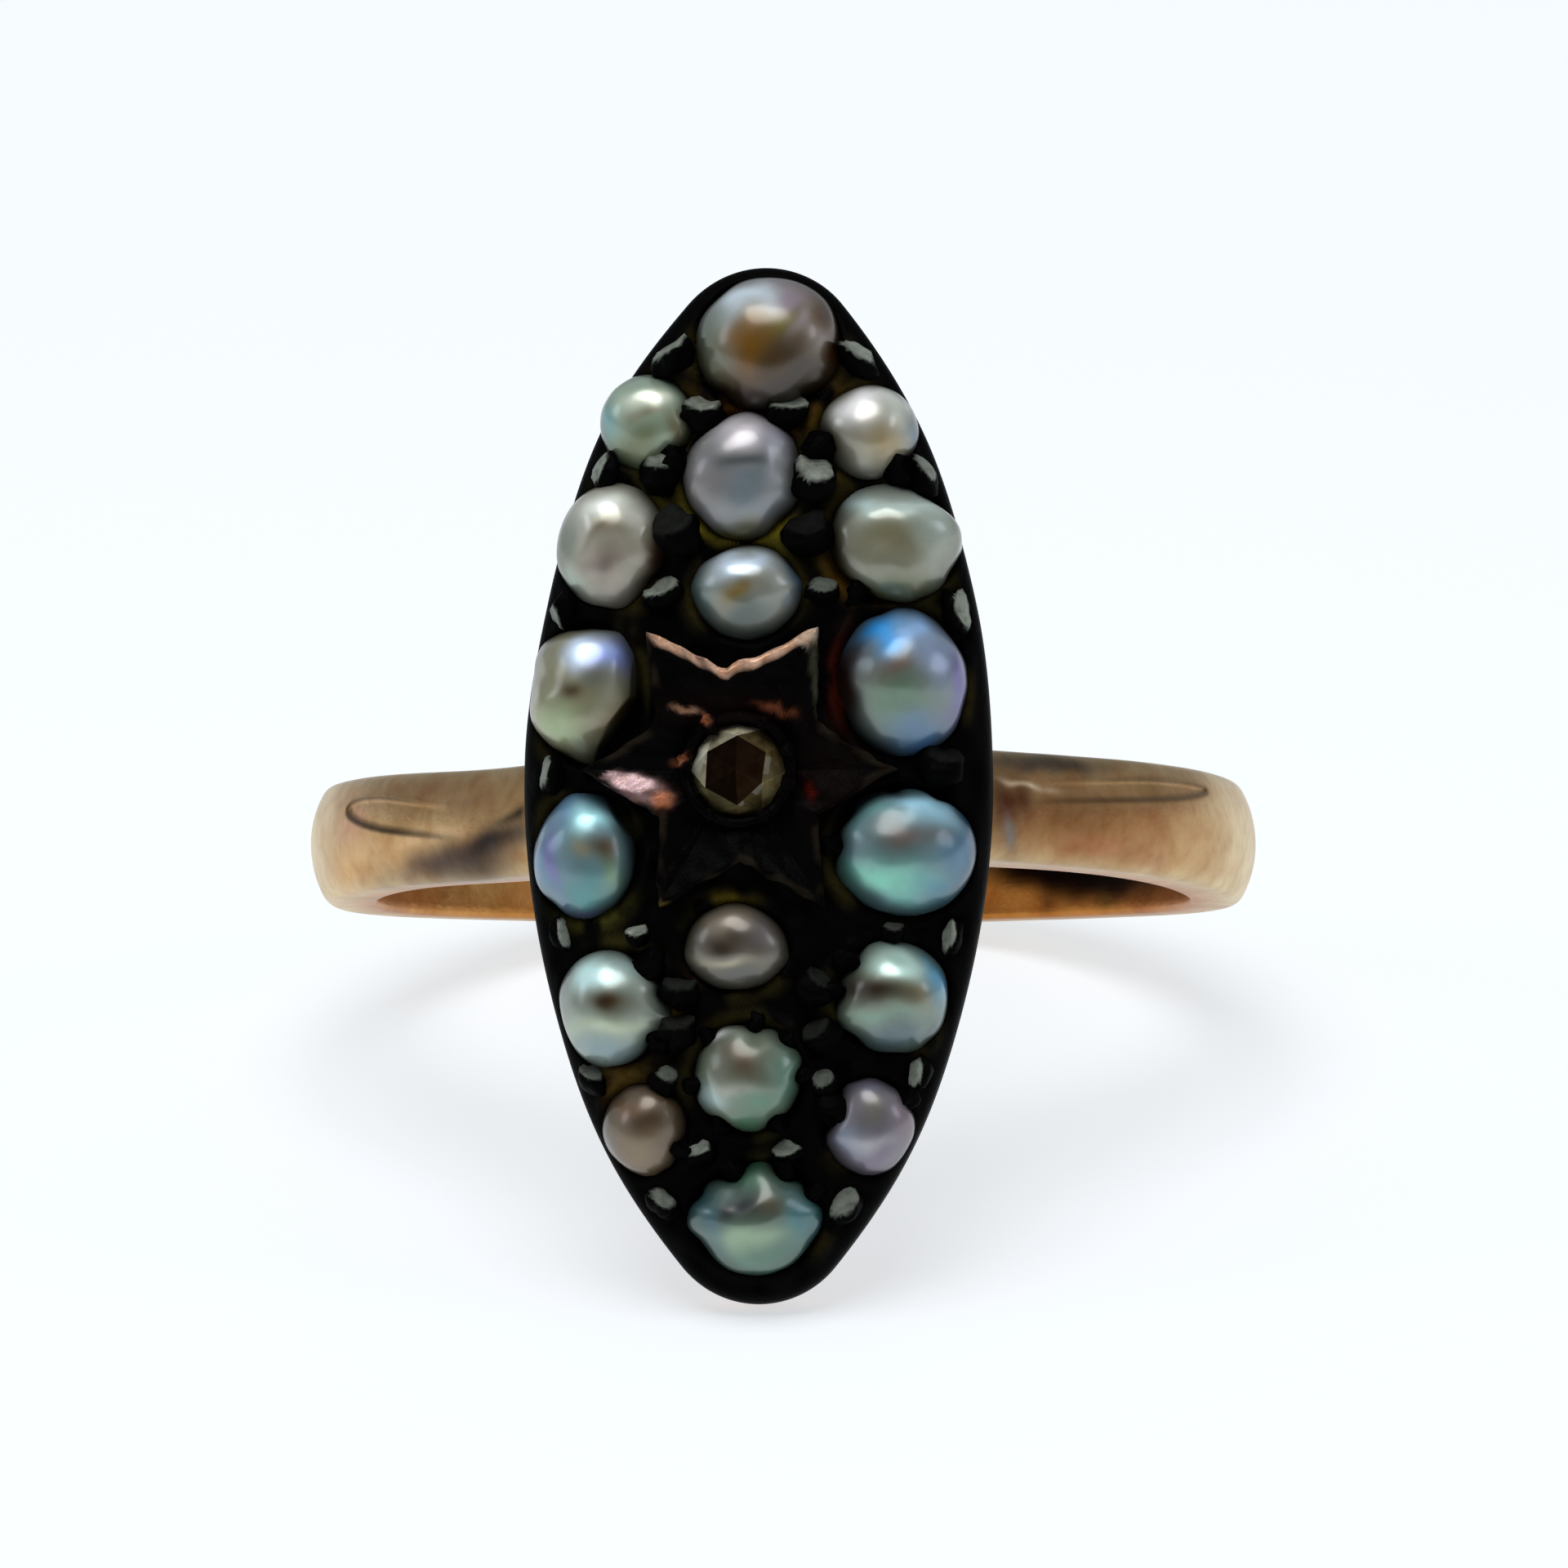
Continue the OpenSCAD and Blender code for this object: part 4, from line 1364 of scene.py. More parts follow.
@dataclass
class Head(Piece):
    """The blackened silver navette with its rim, the pearls' seats and the grains.

    A grain's worn cut leans by cut_lean degrees towards the upper tip and swings by cut_swing,
    each give or take its second value, and lies between the two distances of cut_depth.
    """

    node = "head"
    made = "silver_head"
    slot = Slot.BLACKENED_SILVER
    half_w: float
    half_l: float
    rise: float
    silver_z: float
    silver_t: float = 1.6
    tip_r: float = 1.9
    rim_r: float = 0.35
    rim_reach: float = 1.3
    lip: float = 0.08
    lip_at: float = 0.14
    lip_width: float = 0.12
    seat_depth: float = 0.3
    pitting: float = 0.05
    pitting_mm: float = 0.7
    dust_gap: tuple[float, float] = (0.45, 0.02)
    dust_mm: float = 0.8
    grain_r: float = 0.38
    grain_lumps: float = 0.10
    grain_tall: float = 1.05
    grain_lift: float = 0.15
    grain_shine: float = 0.35
    cut_lean: tuple[float, float] = (52, 9)
    cut_swing: tuple[float, float] = (-12, 25)
    cut_depth: tuple[float, float] = (0.56, 0.76)
    claw_from: float = 0.1
    claw_at: float = 1.03
    claw_in: float = 0.35
    claw_size: float = 0.30
    claw_gain: float = 0.03
    claw_stretch: float = 1.2
    around: int = 460
    rim_rows: int = 15
    field_rows: int = 83
    wall_rows: int = 7
    black: Colour = (0.016, 0.015, 0.016)
    # Colour of the grains' worn tops, painted light grey as worn silver with a painted highlight.
    glint: Colour = (0.66, 0.69, 0.64)
    olive: Colour = (0.30, 0.27, 0.12)
    olive_share: float = 0.35
    olive_mm: float = 2.4
    pearls: list[HalfPearl] = field(default_factory=list)

    @classmethod
    def from_node(cls, points: np.ndarray) -> Head:
        """Reads the head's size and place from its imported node.

        Args:
            points: Corners of the node in the ring's frame.

        Returns:
            The head, still without pearls.
        """
        low, high = points.min(0), points.max(0)
        half_l, rise = (high[1] - low[1]) / 2, (high[1] + low[1]) / 2
        return cls(half_w=high[0], half_l=half_l, rise=rise, silver_z=low[2])

    @property
    def top(self) -> Bombe:
        """The bombé top."""
        return Bombe(self.silver_z + self.silver_t, self.rise)

    @property
    def outline(self) -> NavetteOutline:
        """The head's outline, seen from above."""
        return NavetteOutline(self.half_w, self.half_l, self.tip_r)

    def plate_places(self, insets: np.ndarray, shrink_from: float) -> np.ndarray:
        """Places on the plate, ring by ring from its middle to its outline.

        Down to shrink_from a ring is the outline moved inwards by its inset. Inside that it
        is the last such ring made smaller about the middle.

        Args:
            insets: Distances inside the outline, from the largest to 0.
            shrink_from: Inset at which the rings start to shrink about the middle.

        Returns:
            Places as rings by places by 2, about the head's middle.
        """
        line, normal = self.outline.walk(self.around)
        held = np.minimum(insets, shrink_from)[:, None, None]
        scale = 1 - (insets[:, None, None] - held) / (self.half_w - shrink_from)
        return self.outline.worn((line - held * normal) * scale)

    def seat_distance(self, places: np.ndarray) -> np.ndarray:
        """Distance outside the nearest pearl's foot, below 0 within it.

        Args:
            places: Places on the plate in the ring's frame.

        Returns:
            For each place the least of (r - 1) times the pearl's mean half size, where r is
            1 on the pearl's foot.
        """
        centres = np.array([p.middle[:2] for p in self.pearls])
        sizes = np.array([[p.half_w, p.half_h] for p in self.pearls])
        off = (places[..., None, :] - centres) / sizes
        return ((np.linalg.norm(off, axis=-1) - 1) * sizes.mean(1)).min(-1)

    def plate(self) -> Shell:
        """Builds the plate: bombé top, seats with a lip round each pearl, rim, wall and back.

        The rim's height falls as r - sqrt(r^2 - (r - inset)^2) within its radius of the edge.

        Returns:
            The closed skin.
        """
        rim = np.linspace(0, 1, self.rim_rows + 1)[1:] ** 1.5 * self.rim_reach
        field_insets = np.linspace(self.half_w - 0.05, self.rim_reach, self.field_rows + 1)[:-1]
        insets = np.concatenate([field_insets, rim[::-1], [0.0]])
        flat = self.plate_places(insets, self.rim_reach)
        x, y = flat[..., 0], flat[..., 1] + self.rise
        inset = np.broadcast_to(insets[:, None], x.shape)
        gap = self.seat_distance(np.stack([x, y], -1))
        rough = ripple(np.stack([x, y, 0 * x], -1), self.pitting_mm, seed=3)
        lip = self.lip * bell(gap - self.lip_at, self.lip_width)
        lip = lip - self.seat_depth * smooth_step(0.05, -0.15, gap)
        inner = smooth_step(0.12, 0.4, inset)
        reach = np.maximum(self.rim_r - inset, 0)
        drop = self.rim_r - np.sqrt(self.rim_r**2 - reach**2)
        z = self.top.height(x, y) + inner * (lip + self.pitting * rough) - drop
        top = np.stack([x, y, z], -1)
        wall_z = np.linspace(1, 0, self.wall_rows + 1)[1:, None, None]
        foot = np.concatenate([top[-1][:, :2], np.full((self.around, 1), self.silver_z)], -1)
        wall = foot + wall_z * (top[-1] - foot)
        back = foot * np.array([0.5, 0.5, 1]) + np.array([0, 0.5 * self.rise, 0])
        # Near the pearls' feet the silver takes olive dirt, the residue patches and one painted shadow.
        patchy = smooth_step(-1.4, 0.3, ripple(top, self.dust_mm, seed=5))
        dirt_and_shade = inner * smooth_step(*self.dust_gap, gap) * patchy
        black = np.broadcast_to(linear(self.black), top.shape)
        olive = self.olive_share * dirt_and_shade * smooth_step(0.1, 1.2, ripple(top, self.olive_mm, seed=7))
        skin = paint(blend(black, self.olive, olive), DIRT_AND_SHADE, x, y, dirt_and_shade)
        rings = np.concatenate([top, wall, back[None]])
        pad = np.broadcast_to(linear(self.black), (len(rings) - len(top), self.around, 3))
        return Shell.from_rings(rings, np.concatenate([skin, pad]))

    def claws(self) -> list[Grain]:
        """The black grains that bite into the pearls' edges, one for each deep enough bite.

        Returns:
            The grains.
        """
        found = []
        for p in self.pearls:
            for angle, depth, width in p.look.bites:
                if depth < self.claw_from:
                    continue
                way = (self.claw_at - self.claw_in * depth) * heading(angle)
                across = (p.middle[0] + way[0] * p.half_w) / self.half_w
                along = (p.middle[1] - self.rise + way[1] * p.half_h) / self.half_l
                size = self.claw_size + self.claw_gain * width
                found.append(Grain(across, along, size, 0.0, self.claw_stretch, angle))
        return found

    def grains(self) -> Shell:
        """Builds the grains as domes with a worn flat cut on their upper side.

        A unit dome (sin f cos t, sin f sin t, cos f) is pressed flat where it stands past a
        plane that leans towards the upper tip, stretched, turned and set square to the top.

        Returns:
            One skin of closed grains.
        """
        rng = np.random.default_rng(11)
        fall = np.linspace(0.12, 2.5, 12)[:, None]
        turn = np.arange(18)[None, :] / 18 * 2 * np.pi
        unit = ball(fall, turn)
        shells = []
        for row in GRAINS + self.claws():
            lean = np.radians(self.cut_lean[0] + self.cut_lean[1] * rng.normal())
            swing = np.radians(self.cut_swing[0] + self.cut_swing[1] * rng.normal())
            facing = ball(lean, np.pi / 2 - swing)
            past = unit @ facing - rng.uniform(*self.cut_depth)
            body = unit - np.maximum(past, 0)[..., None] * facing
            lumps = self.grain_lumps * ripple(unit, 1.1, seed=int(rng.integers(1000)))
            body = body * (1 + lumps)[..., None]
            size = row.size * self.grain_r
            c, s = heading(row.turn)
            spin = np.array([[c, s, 0], [-s, c, 0], [0, 0, 1]])
            form = np.array([row.stretch**0.5, row.stretch**-0.5, self.grain_tall])
            body = body * form @ spin * size
            x, y = row.across * self.half_w, row.along * self.half_l + self.rise
            foot = np.array([x, y, float(self.top.height(x, y)) + self.grain_lift * size])
            # The flat cut, which faces the light, is painted light grey: worn silver and a painted
            # highlight.
            bright = row.gleam * smooth_step(-0.08, 0.02, past)
            skin = blend(linear(self.black), self.glint, bright)
            body = body @ self.top.basis(x, y) + foot
            shells.append(Shell.from_rings(body, skin, self.grain_shine * bright))
        return Shell.joined(shells)

    def shell(self) -> Shell:
        """Joins the plate and the grains."""
        return Shell.joined([self.plate(), self.grains()])


@dataclass(frozen=True)
class Leaf:
    """The leaf-shaped hollow filed into one shoulder.

    Its tip lies at tip_a degrees from the head's middle, and it runs towards the head. Its
    middle line starts at middle and falls by fall for each millimetre.
    """

    side: Side
    tip_a: float
    middle: float
    fall: float
    width: float
    full_at: float
    fade_at: float
    # Strength of the painted shade along the upper and the lower border.
    upper_line: float
    lower_line: float
    depth: float = 0.07
    wall: tuple[float, float] = (0.06, -0.10)
    line_w: float = 0.055

    def across(self, way: np.ndarray, y: np.ndarray) -> tuple[np.ndarray, np.ndarray]:
        """Place across the leaf, -1 and 1 on its borders, and its half width there.

        The half width grows as that of an ellipse up to full_at: half the width times
        sqrt(1 - (1 - way / full_at)^2).

        Args:
            way: Distance from the tip towards the head.
            y: Place along the finger.

        Returns:
            The place and the half width.
        """
        share = np.clip(way / self.full_at, 0, 1)
        half = self.width / 2 * np.sqrt(np.maximum(1 - (1 - share) ** 2, 1e-6))
        return (y - self.middle + self.fall * way) / half, half

    def hollow(self, way: np.ndarray, y: np.ndarray) -> np.ndarray:
        """Depth of the hollow: flat inside, with soft walls, and running out towards the head.

        Args:
            way: Distance from the tip towards the head.
            y: Place along the finger.

        Returns:
            The depth in millimetres.
        """
        place, half = self.across(way, y)
        inside = smooth_step(*self.wall, (np.abs(place) - 1) * half) * (way > 0)
        return self.depth * inside * smooth_step(self.fade_at, self.fade_at / 2, way)

    def line(self, way: np.ndarray, y: np.ndarray) -> np.ndarray:
        """How dark the painted shade along the leaf's border is.

        Args:
            way: Distance from the tip towards the head.
            y: Place along the finger.

        Returns:
            The darkness, from 0 to 1.
        """
        place, half = self.across(way, y)
        near = bell((np.abs(place) - 1) * half, self.line_w) * (way > -0.02)
        side = np.where(place > 0, self.upper_line, self.lower_line)
        return near * side * smooth_step(self.fade_at, self.fade_at / 2.5, way)


# Tone, painted shade and painted highlights on the band's outside, in millimetres across and along the
# finger.
OUTSIDE = (
    Patch(-7.0, 0.8, 0.9, 0.25, (0.72, 0.55, 0.42), 0.6),
    Patch(-6.1, 0.4, 0.6, 0.2, (0.68, 0.52, 0.38), 0.6),
    Patch(-8.9, 0.15, 0.3, 0.4, (0.82, 0.62, 0.50), 0.6),
    Patch(-8.9, -0.75, 0.5, 0.4, (0.86, 0.68, 0.42), 0.7),
    Patch(-7.2, -0.22, 1.0, 0.16, (0.90, 0.76, 0.58), 0.8, 8),
    Patch(-6.9, -0.72, 1.1, 0.26, (0.40, 0.32, 0.28), 0.8, 12),
    Patch(-6.1, -0.60, 1.4, 0.42, (0.30, 0.25, 0.24), 0.85, 14, 2.2),
    Patch(-5.9, -0.9, 0.9, 0.42, (0.32, 0.27, 0.23), 0.85),
    Patch(-5.6, -0.42, 0.75, 0.27, (0.13, 0.11, 0.12), 0.9, 18),
    Patch(-5.25, 0.06, 0.25, 0.12, (0.12, 0.08, 0.06), 0.9, 30),
    Patch(5.9, 0.92, 1.2, 0.24, (0.28, 0.29, 0.30), 0.85, 0, 3),
    Patch(6.4, -0.25, 1.5, 0.8, (0.46, 0.27, 0.12), 0.82),
    Patch(4.8, -0.05, 0.6, 0.85, (0.28, 0.16, 0.09), 0.85),
    Patch(7.9, -0.1, 0.7, 0.5, (0.64, 0.44, 0.27), 0.75),
    Patch(6.9, -0.75, 0.8, 0.22, (0.68, 0.46, 0.34), 0.7),
    Patch(8.0, -0.85, 0.3, 0.2, (0.66, 0.46, 0.34), 0.6),
    Patch(5.25, 0.0, 0.36, 0.42, (0.33, 0.13, 0.05), 0.95),
    Patch(5.15, -0.6, 0.22, 0.35, (0.46, 0.47, 0.48), 0.8),
    Patch(5.5, 0.42, 0.45, 0.06, (1.0, 0.90, 0.76), 0.9, -8),
)

# Tone, painted shade and painted light on the band's inside, in the same measure.
INSIDE = (
    Patch(-7.4, -0.6, 0.15, 0.35, (0.40, 0.22, 0.08), 0.8),
    Patch(-7.0, -0.1, 1.6, 0.9, (0.92, 0.75, 0.48), 0.85),
    Patch(-5.7, 0.2, 0.9, 0.45, (0.30, 0.11, 0.05), 0.9, 0, 4),
    Patch(-5.2, -0.8, 0.5, 0.2, (0.80, 0.54, 0.24), 0.8),
    # Painted shade on the far inside, under the near band.
    Patch(6.0, 0.1, 2.4, 0.95, (0.05, 0.012, 0.01), 1.0, -7, 10),
    Patch(5.3, -0.85, 0.25, 0.2, (0.40, 0.22, 0.10), 0.7),
    Patch(6.6, -0.85, 0.25, 0.15, (0.42, 0.34, 0.12), 0.7),
)


@dataclass(frozen=True)
class Bow:
    """A soft bend of the old band: an angle, a spread in degrees, a drop and a gain in width."""

    angle: float
    spread: float
    drop: float
    wider: float


@dataclass
class Shank(Piece):
    """The rose gold band with its shoulders, and the gold back plate of the head.

    The angles steepest and straight_to are the largest past the shoulder that the tangent's
    formulas take. Within head_within of the head's middle the band ends in the back plate.
    These three are in radians.
    """

    node = "shank"
    made = "gold_shank"
    slot = Slot.ROSE_GOLD
    finger_r: float
    head: Head
    band_t: float = 1.4
    band_w: float = 2.3
    crown_r: float = 1.9
    edge_r: float = 0.35
    inner_edge_r: float = 0.12
    shoulder_a: float = 48.0
    steepest: float = 1.3
    straight_to: float = 1.2
    head_within: float = 1.0
    back_z: float = 9.7
    back_t: float = 0.6
    back_inset: float = 0.04
    back_edge_r: float = 0.2
    warp: float = 0.002
    wobble: float = 0.0006
    wobble_mm: float = 2.5
    front_from_z: float = -1.5
    back_to_z: float = 2.0
    sections: int = 1000
    tan: Colour = (0.79, 0.65, 0.46)
    sheen_cream: Colour = (0.86, 0.78, 0.61)
    brown: Colour = (0.74, 0.50, 0.24)
    sheen_sides: tuple[float, float] = (8.9, 9.9)
    sheen_edges: tuple[float, float] = (0.75, 1.12)
    edge_sheen: float = 0.6
    plate_shade: Colour = (0.34, 0.14, 0.07)
    plate_shade_share: float = 0.6
    blush_tint: Colour = (0.95, 0.80, 0.68)
    blush_share: float = 0.30
    line_shade: float = 0.85
    leaves: tuple[Leaf, ...] = (
        Leaf(Side.LEFT, 64.8, 0.52, 0.11, 0.66, 2.2, 4.8, 0.9, 0.95),
        Leaf(Side.RIGHT, 67.0, 0.70, 0.07, 0.42, 3.2, 7.0, 0.85, 0.55),
    )
    bows: tuple[Bow, ...] = (
        Bow(-95, 38, 0.12, 0.09),
        Bow(95, 38, 0.10, 0.09),
        Bow(-34, 18, 0.10, 0.0),
    )

    @classmethod
    def from_frame(cls, record: dict, head: Head) -> Shank:
        """Reads the finger hole's radius from the record.

        Args:
            record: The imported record.
            head: The silver head.

        Returns:
            The shank.
        """
        return cls(finger_r=finger_bore(record)["dims"]["r_mm"], head=head)

    @property
    def band_r(self) -> float:
        """Outer radius of the round part of the band."""
        return self.finger_r + self.band_t

    def section(self) -> tuple[np.ndarray, np.ndarray]:
        """The band's D section: a domed outside, round edges and a flat inside.

        Returns:
            Points as distance from the finger hole's middle and place along the finger, and
            for each point 1 on the outside and 0 on the inside.
        """
        corner = self.band_w / 2 - self.edge_r
        dome = self.band_r - self.crown_r
        reach = dome + math.sqrt((self.crown_r - self.edge_r) ** 2 - corner**2)
        turn = math.atan2(corner, reach - dome)

        def arc(centre: tuple[float, float], r: float, start: float, end: float, count: int) -> np.ndarray:
            """Points on an arc from one angle to another."""
            angle = np.linspace(start, end, count)
            return np.stack([centre[0] + r * np.cos(angle), centre[1] + r * np.sin(angle)], -1)

        e = self.inner_edge_r
        inner, edge = self.finger_r, self.band_w / 2
        outside = [
            arc((reach, -corner), self.edge_r, -np.pi / 2, -turn, 9)[:-1],
            arc((dome, 0), self.crown_r, -turn, turn, 49),
            arc((reach, corner), self.edge_r, turn, np.pi / 2, 9)[1:],
        ]
        inside = [
            arc((inner + e, edge - e), e, np.pi / 2, np.pi, 4)[:-1],
            np.stack([np.full(17, inner), np.linspace(edge - e, e - edge, 17)], -1),
            arc((inner + e, e - edge), e, np.pi, 1.5 * np.pi, 4)[1:],
        ]
        profile = np.concatenate(outside + inside)
        where = (np.arange(len(profile)) < len(np.concatenate(outside))) * 1.0
        return profile, where

    def way_from(self, away: np.ndarray, leaf: Leaf) -> np.ndarray:
        """Distance along the band's outside from a leaf's tip towards the head.

        Args:
            away: Angle from the head's middle in radians, 0 at the head.
            leaf: The leaf.

        Returns:
            The length of the round part passed, plus the straight shoulder's run.
        """
        start = math.radians(self.shoulder_a)
        round_part = self.band_r * (math.radians(leaf.tip_a) - np.maximum(away, start))
        return round_part + self.band_r * np.tan(np.clip(start - away, 0, self.straight_to))

    def band(self) -> Shell:
        """Builds the band: its section carried round the finger, with straight shoulders.

        Past the shoulder angle the outside runs on as the tangent: r / cos(shoulder - angle),
        and it ends inside the back plate.

        Returns:
            The closed skin.
        """
        profile, outside = self.section()
        angle = (np.arange(self.sections) / self.sections * 2 - 1)[:, None] * np.pi
        away = np.abs(angle)
        start = math.radians(self.shoulder_a)
        rho, y = profile[None, :, 0], profile[None, :, 1] + 0 * angle
        hollow, line = np.zeros_like(y), np.zeros_like(y)
        for leaf in self.leaves:
            there = (np.sign(angle) == leaf.side.value) * outside
            hollow = hollow + there * leaf.hollow(self.way_from(away, leaf), y)
            line = line + there * leaf.line(self.way_from(away, leaf), y)
        outer = (rho - hollow) / np.cos(np.clip(start - away, 0, self.steepest))
        cap = (self.back_z + self.back_t / 2) / np.maximum(np.cos(angle), 0.2)
        outer = np.where(away < self.head_within, np.minimum(outer, cap), outer)
        r = np.where(outside > 0, outer, rho + 0 * angle)
        place = y + 0
        for bow in self.bows:
            share = bell((np.degrees(angle) - bow.angle + 180) % 360 - 180, bow.spread)
            y = y + share * (bow.wider * y - bow.drop)
        points = np.stack([r * np.sin(angle), y, r * np.cos(angle)], -1)
        wobble = self.wobble * ripple(points, self.wobble_mm, seed=21)
        points = points * (1 + wobble * outside)[..., None]
        points[..., 1] += self.warp * points[..., 0] * np.maximum(points[..., 2], 0)
        skin = self.skin(points, place, outside + 0 * place, np.minimum(line, 1))
        return Shell.from_loop(points, skin, np.ones(place.shape))

    def skin(
        self,
        points: np.ndarray,
        place: np.ndarray,
        outside: np.ndarray,
        line: np.ndarray,
    ) -> np.ndarray:
        """Paints the band: tan outside with a painted cream sheen at its far sides and edges, brown-gold
        inside, with tone, painted shade and painted highlights from the tables.

        Args:
            points: The band's points.
            place: Place of each point along the finger, before the band was bent.
            outside: 1 on the outside of the section.
            line: How dark the painted shade along the leaves' borders is.

        Returns:
            Linear colours.
        """
        x = points[..., 0] + 0.08 * ripple(points, 0.9, seed=32)
        y = place + 0.025 * ripple(points, 0.9, seed=33)
        front = (points[..., 2] > self.front_from_z) * outside
        back = (points[..., 2] < self.back_to_z) * (1 - outside)
        # Painted sheen: lighter towards the hoop's far sides and the section's edges.
        pale = smooth_step(*self.sheen_sides, np.abs(points[..., 0]))
        pale = pale + self.edge_sheen * smooth_step(*self.sheen_edges, np.abs(place))
        skin = blend(linear(self.tan), self.sheen_cream, np.clip(pale, 0, 1) * outside)
        skin = blend(skin, self.brown, 1 - outside)
        skin = paint(skin, OUTSIDE, x, y, front)
        skin = paint(skin, INSIDE, x, y, back)
        blush = (self.blush_share * smooth_step(0.0, 1.2, ripple(points, 1.1, seed=31)))[..., None]
        skin = skin * (1 - blush * (1 - np.array(self.blush_tint)))
        # Painted shade along the leaves' borders.
        return skin * (1 - self.line_shade * line)[..., None]

    def back_plate(self) -> Shell:
        """Builds the gold back plate with its rounded lower edge.

        Returns:
            The closed skin.
        """
        inset, e = self.back_inset, self.back_edge_r
        outline = self.head.outline
        line, normal = outline.walk(300)
        turn = np.linspace(0, np.pi / 2, 7)
        top = self.back_z + self.back_t
        insets = np.concatenate([[1.5, 0.6, 0.1, 0, 0, 0], e * (1 - np.cos(turn)), [0.6, 1.0, 1.5]])
        insets = insets + inset
        low = self.back_z + e * (1 - np.sin(turn))
        upper = [top, top, top, top - 0.02, top - 0.15, low[0] + 0.02]
        heights = np.concatenate([upper, low, [self.back_z] * 3])
        flat = outline.worn(line[None] - insets[:, None, None] * normal[None])
        z = np.broadcast_to(heights[:, None], flat.shape[:2])
        rings = np.stack([flat[..., 0], flat[..., 1] + self.head.rise, z], -1)
        small = np.ones((16, 1, 3))
        small[:, 0, :2] = np.linspace(0.94, 0.04, 16)[:, None]
        rings = np.concatenate([rings[:1] * small[::-1], rings, rings[-1:] * small])
        dark = self.plate_shade_share * smooth_step(-0.5, 1.0, ripple(rings, 1.6, seed=41))
        skin = blend(linear(self.brown), self.plate_shade, dark)
        return Shell.from_rings(rings, skin, np.ones(rings.shape[:2]))

    def shell(self) -> Shell:
        """Joins the band and the back plate."""
        return Shell.joined([self.band(), self.back_plate()])


# Painted highlights, painted light on the lit facet of the left ray, and dark and worn places of the star,
# in millimetres about its middle.
STAR_PATCHES = (
    Patch(1.95, -0.1, 0.7, 0.9, (0.06, 0.018, 0.014), 0.8),
    Patch(-0.3, 1.3, 1.2, 0.35, (0.08, 0.03, 0.018), 0.7),
    Patch(1.50, 2.78, 0.25, 0.16, (1.0, 0.92, 0.84), 0.7, 28, 4),
    Patch(-1.95, -0.42, 0.62, 0.30, (0.50, 0.40, 0.40), 0.95, -14, 6),
    Patch(-2.25, -0.25, 0.50, 0.15, (1.0, 0.86, 0.88), 1.0, -8, 6),
    Patch(-1.55, -0.60, 0.22, 0.16, (0.90, 0.58, 0.42), 0.9, 20, 3),
    Patch(-1.09, 1.28, 0.30, 0.08, (0.78, 0.62, 0.52), 0.9, -8, 4),
    Patch(-0.66, 1.05, 0.06, 0.14, (0.80, 0.50, 0.36), 0.7, 30, 3),
    Patch(0.80, 1.24, 0.38, 0.09, (0.52, 0.30, 0.20), 0.9, -15, 3),
    Patch(-1.18, 0.18, 0.18, 0.07, (0.70, 0.44, 0.30), 0.7, 25, 3),
    Patch(1.49, -0.44, 0.10, 0.24, (0.40, 0.10, 0.06), 0.7, 10, 3),
    Patch(2.47, -0.81, 0.48, 0.07, (0.46, 0.40, 0.13), 0.9, 28, 4),
    Patch(-1.60, -2.80, 0.36, 0.07, (0.42, 0.36, 0.16), 0.8, 0, 4),
    Patch(1.62, 1.9, 0.10, 0.8, (0.24, 0.25, 0.20), 0.8, 4, 4),
    Patch(1.95, 0.95, 0.30, 0.10, (0.22, 0.22, 0.16), 0.7, -45, 4),
)


@dataclass
class SetPiece(Piece):
    """A piece that is set on the head: its middle, its half width and the height of its foot."""

    middle: np.ndarray
    reach: float
    under_z: float

    @classmethod
    def from_node(cls, points: np.ndarray) -> SetPiece:
        """Reads the piece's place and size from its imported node.

        Args:
            points: Corners of the node in the ring's frame.

        Returns:
            The piece.
        """
        low, high = points.min(0), points.max(0)
        return cls(middle=(low[:2] + high[:2]) / 2, reach=(high[0] - low[0]) / 2, under_z=low[2])


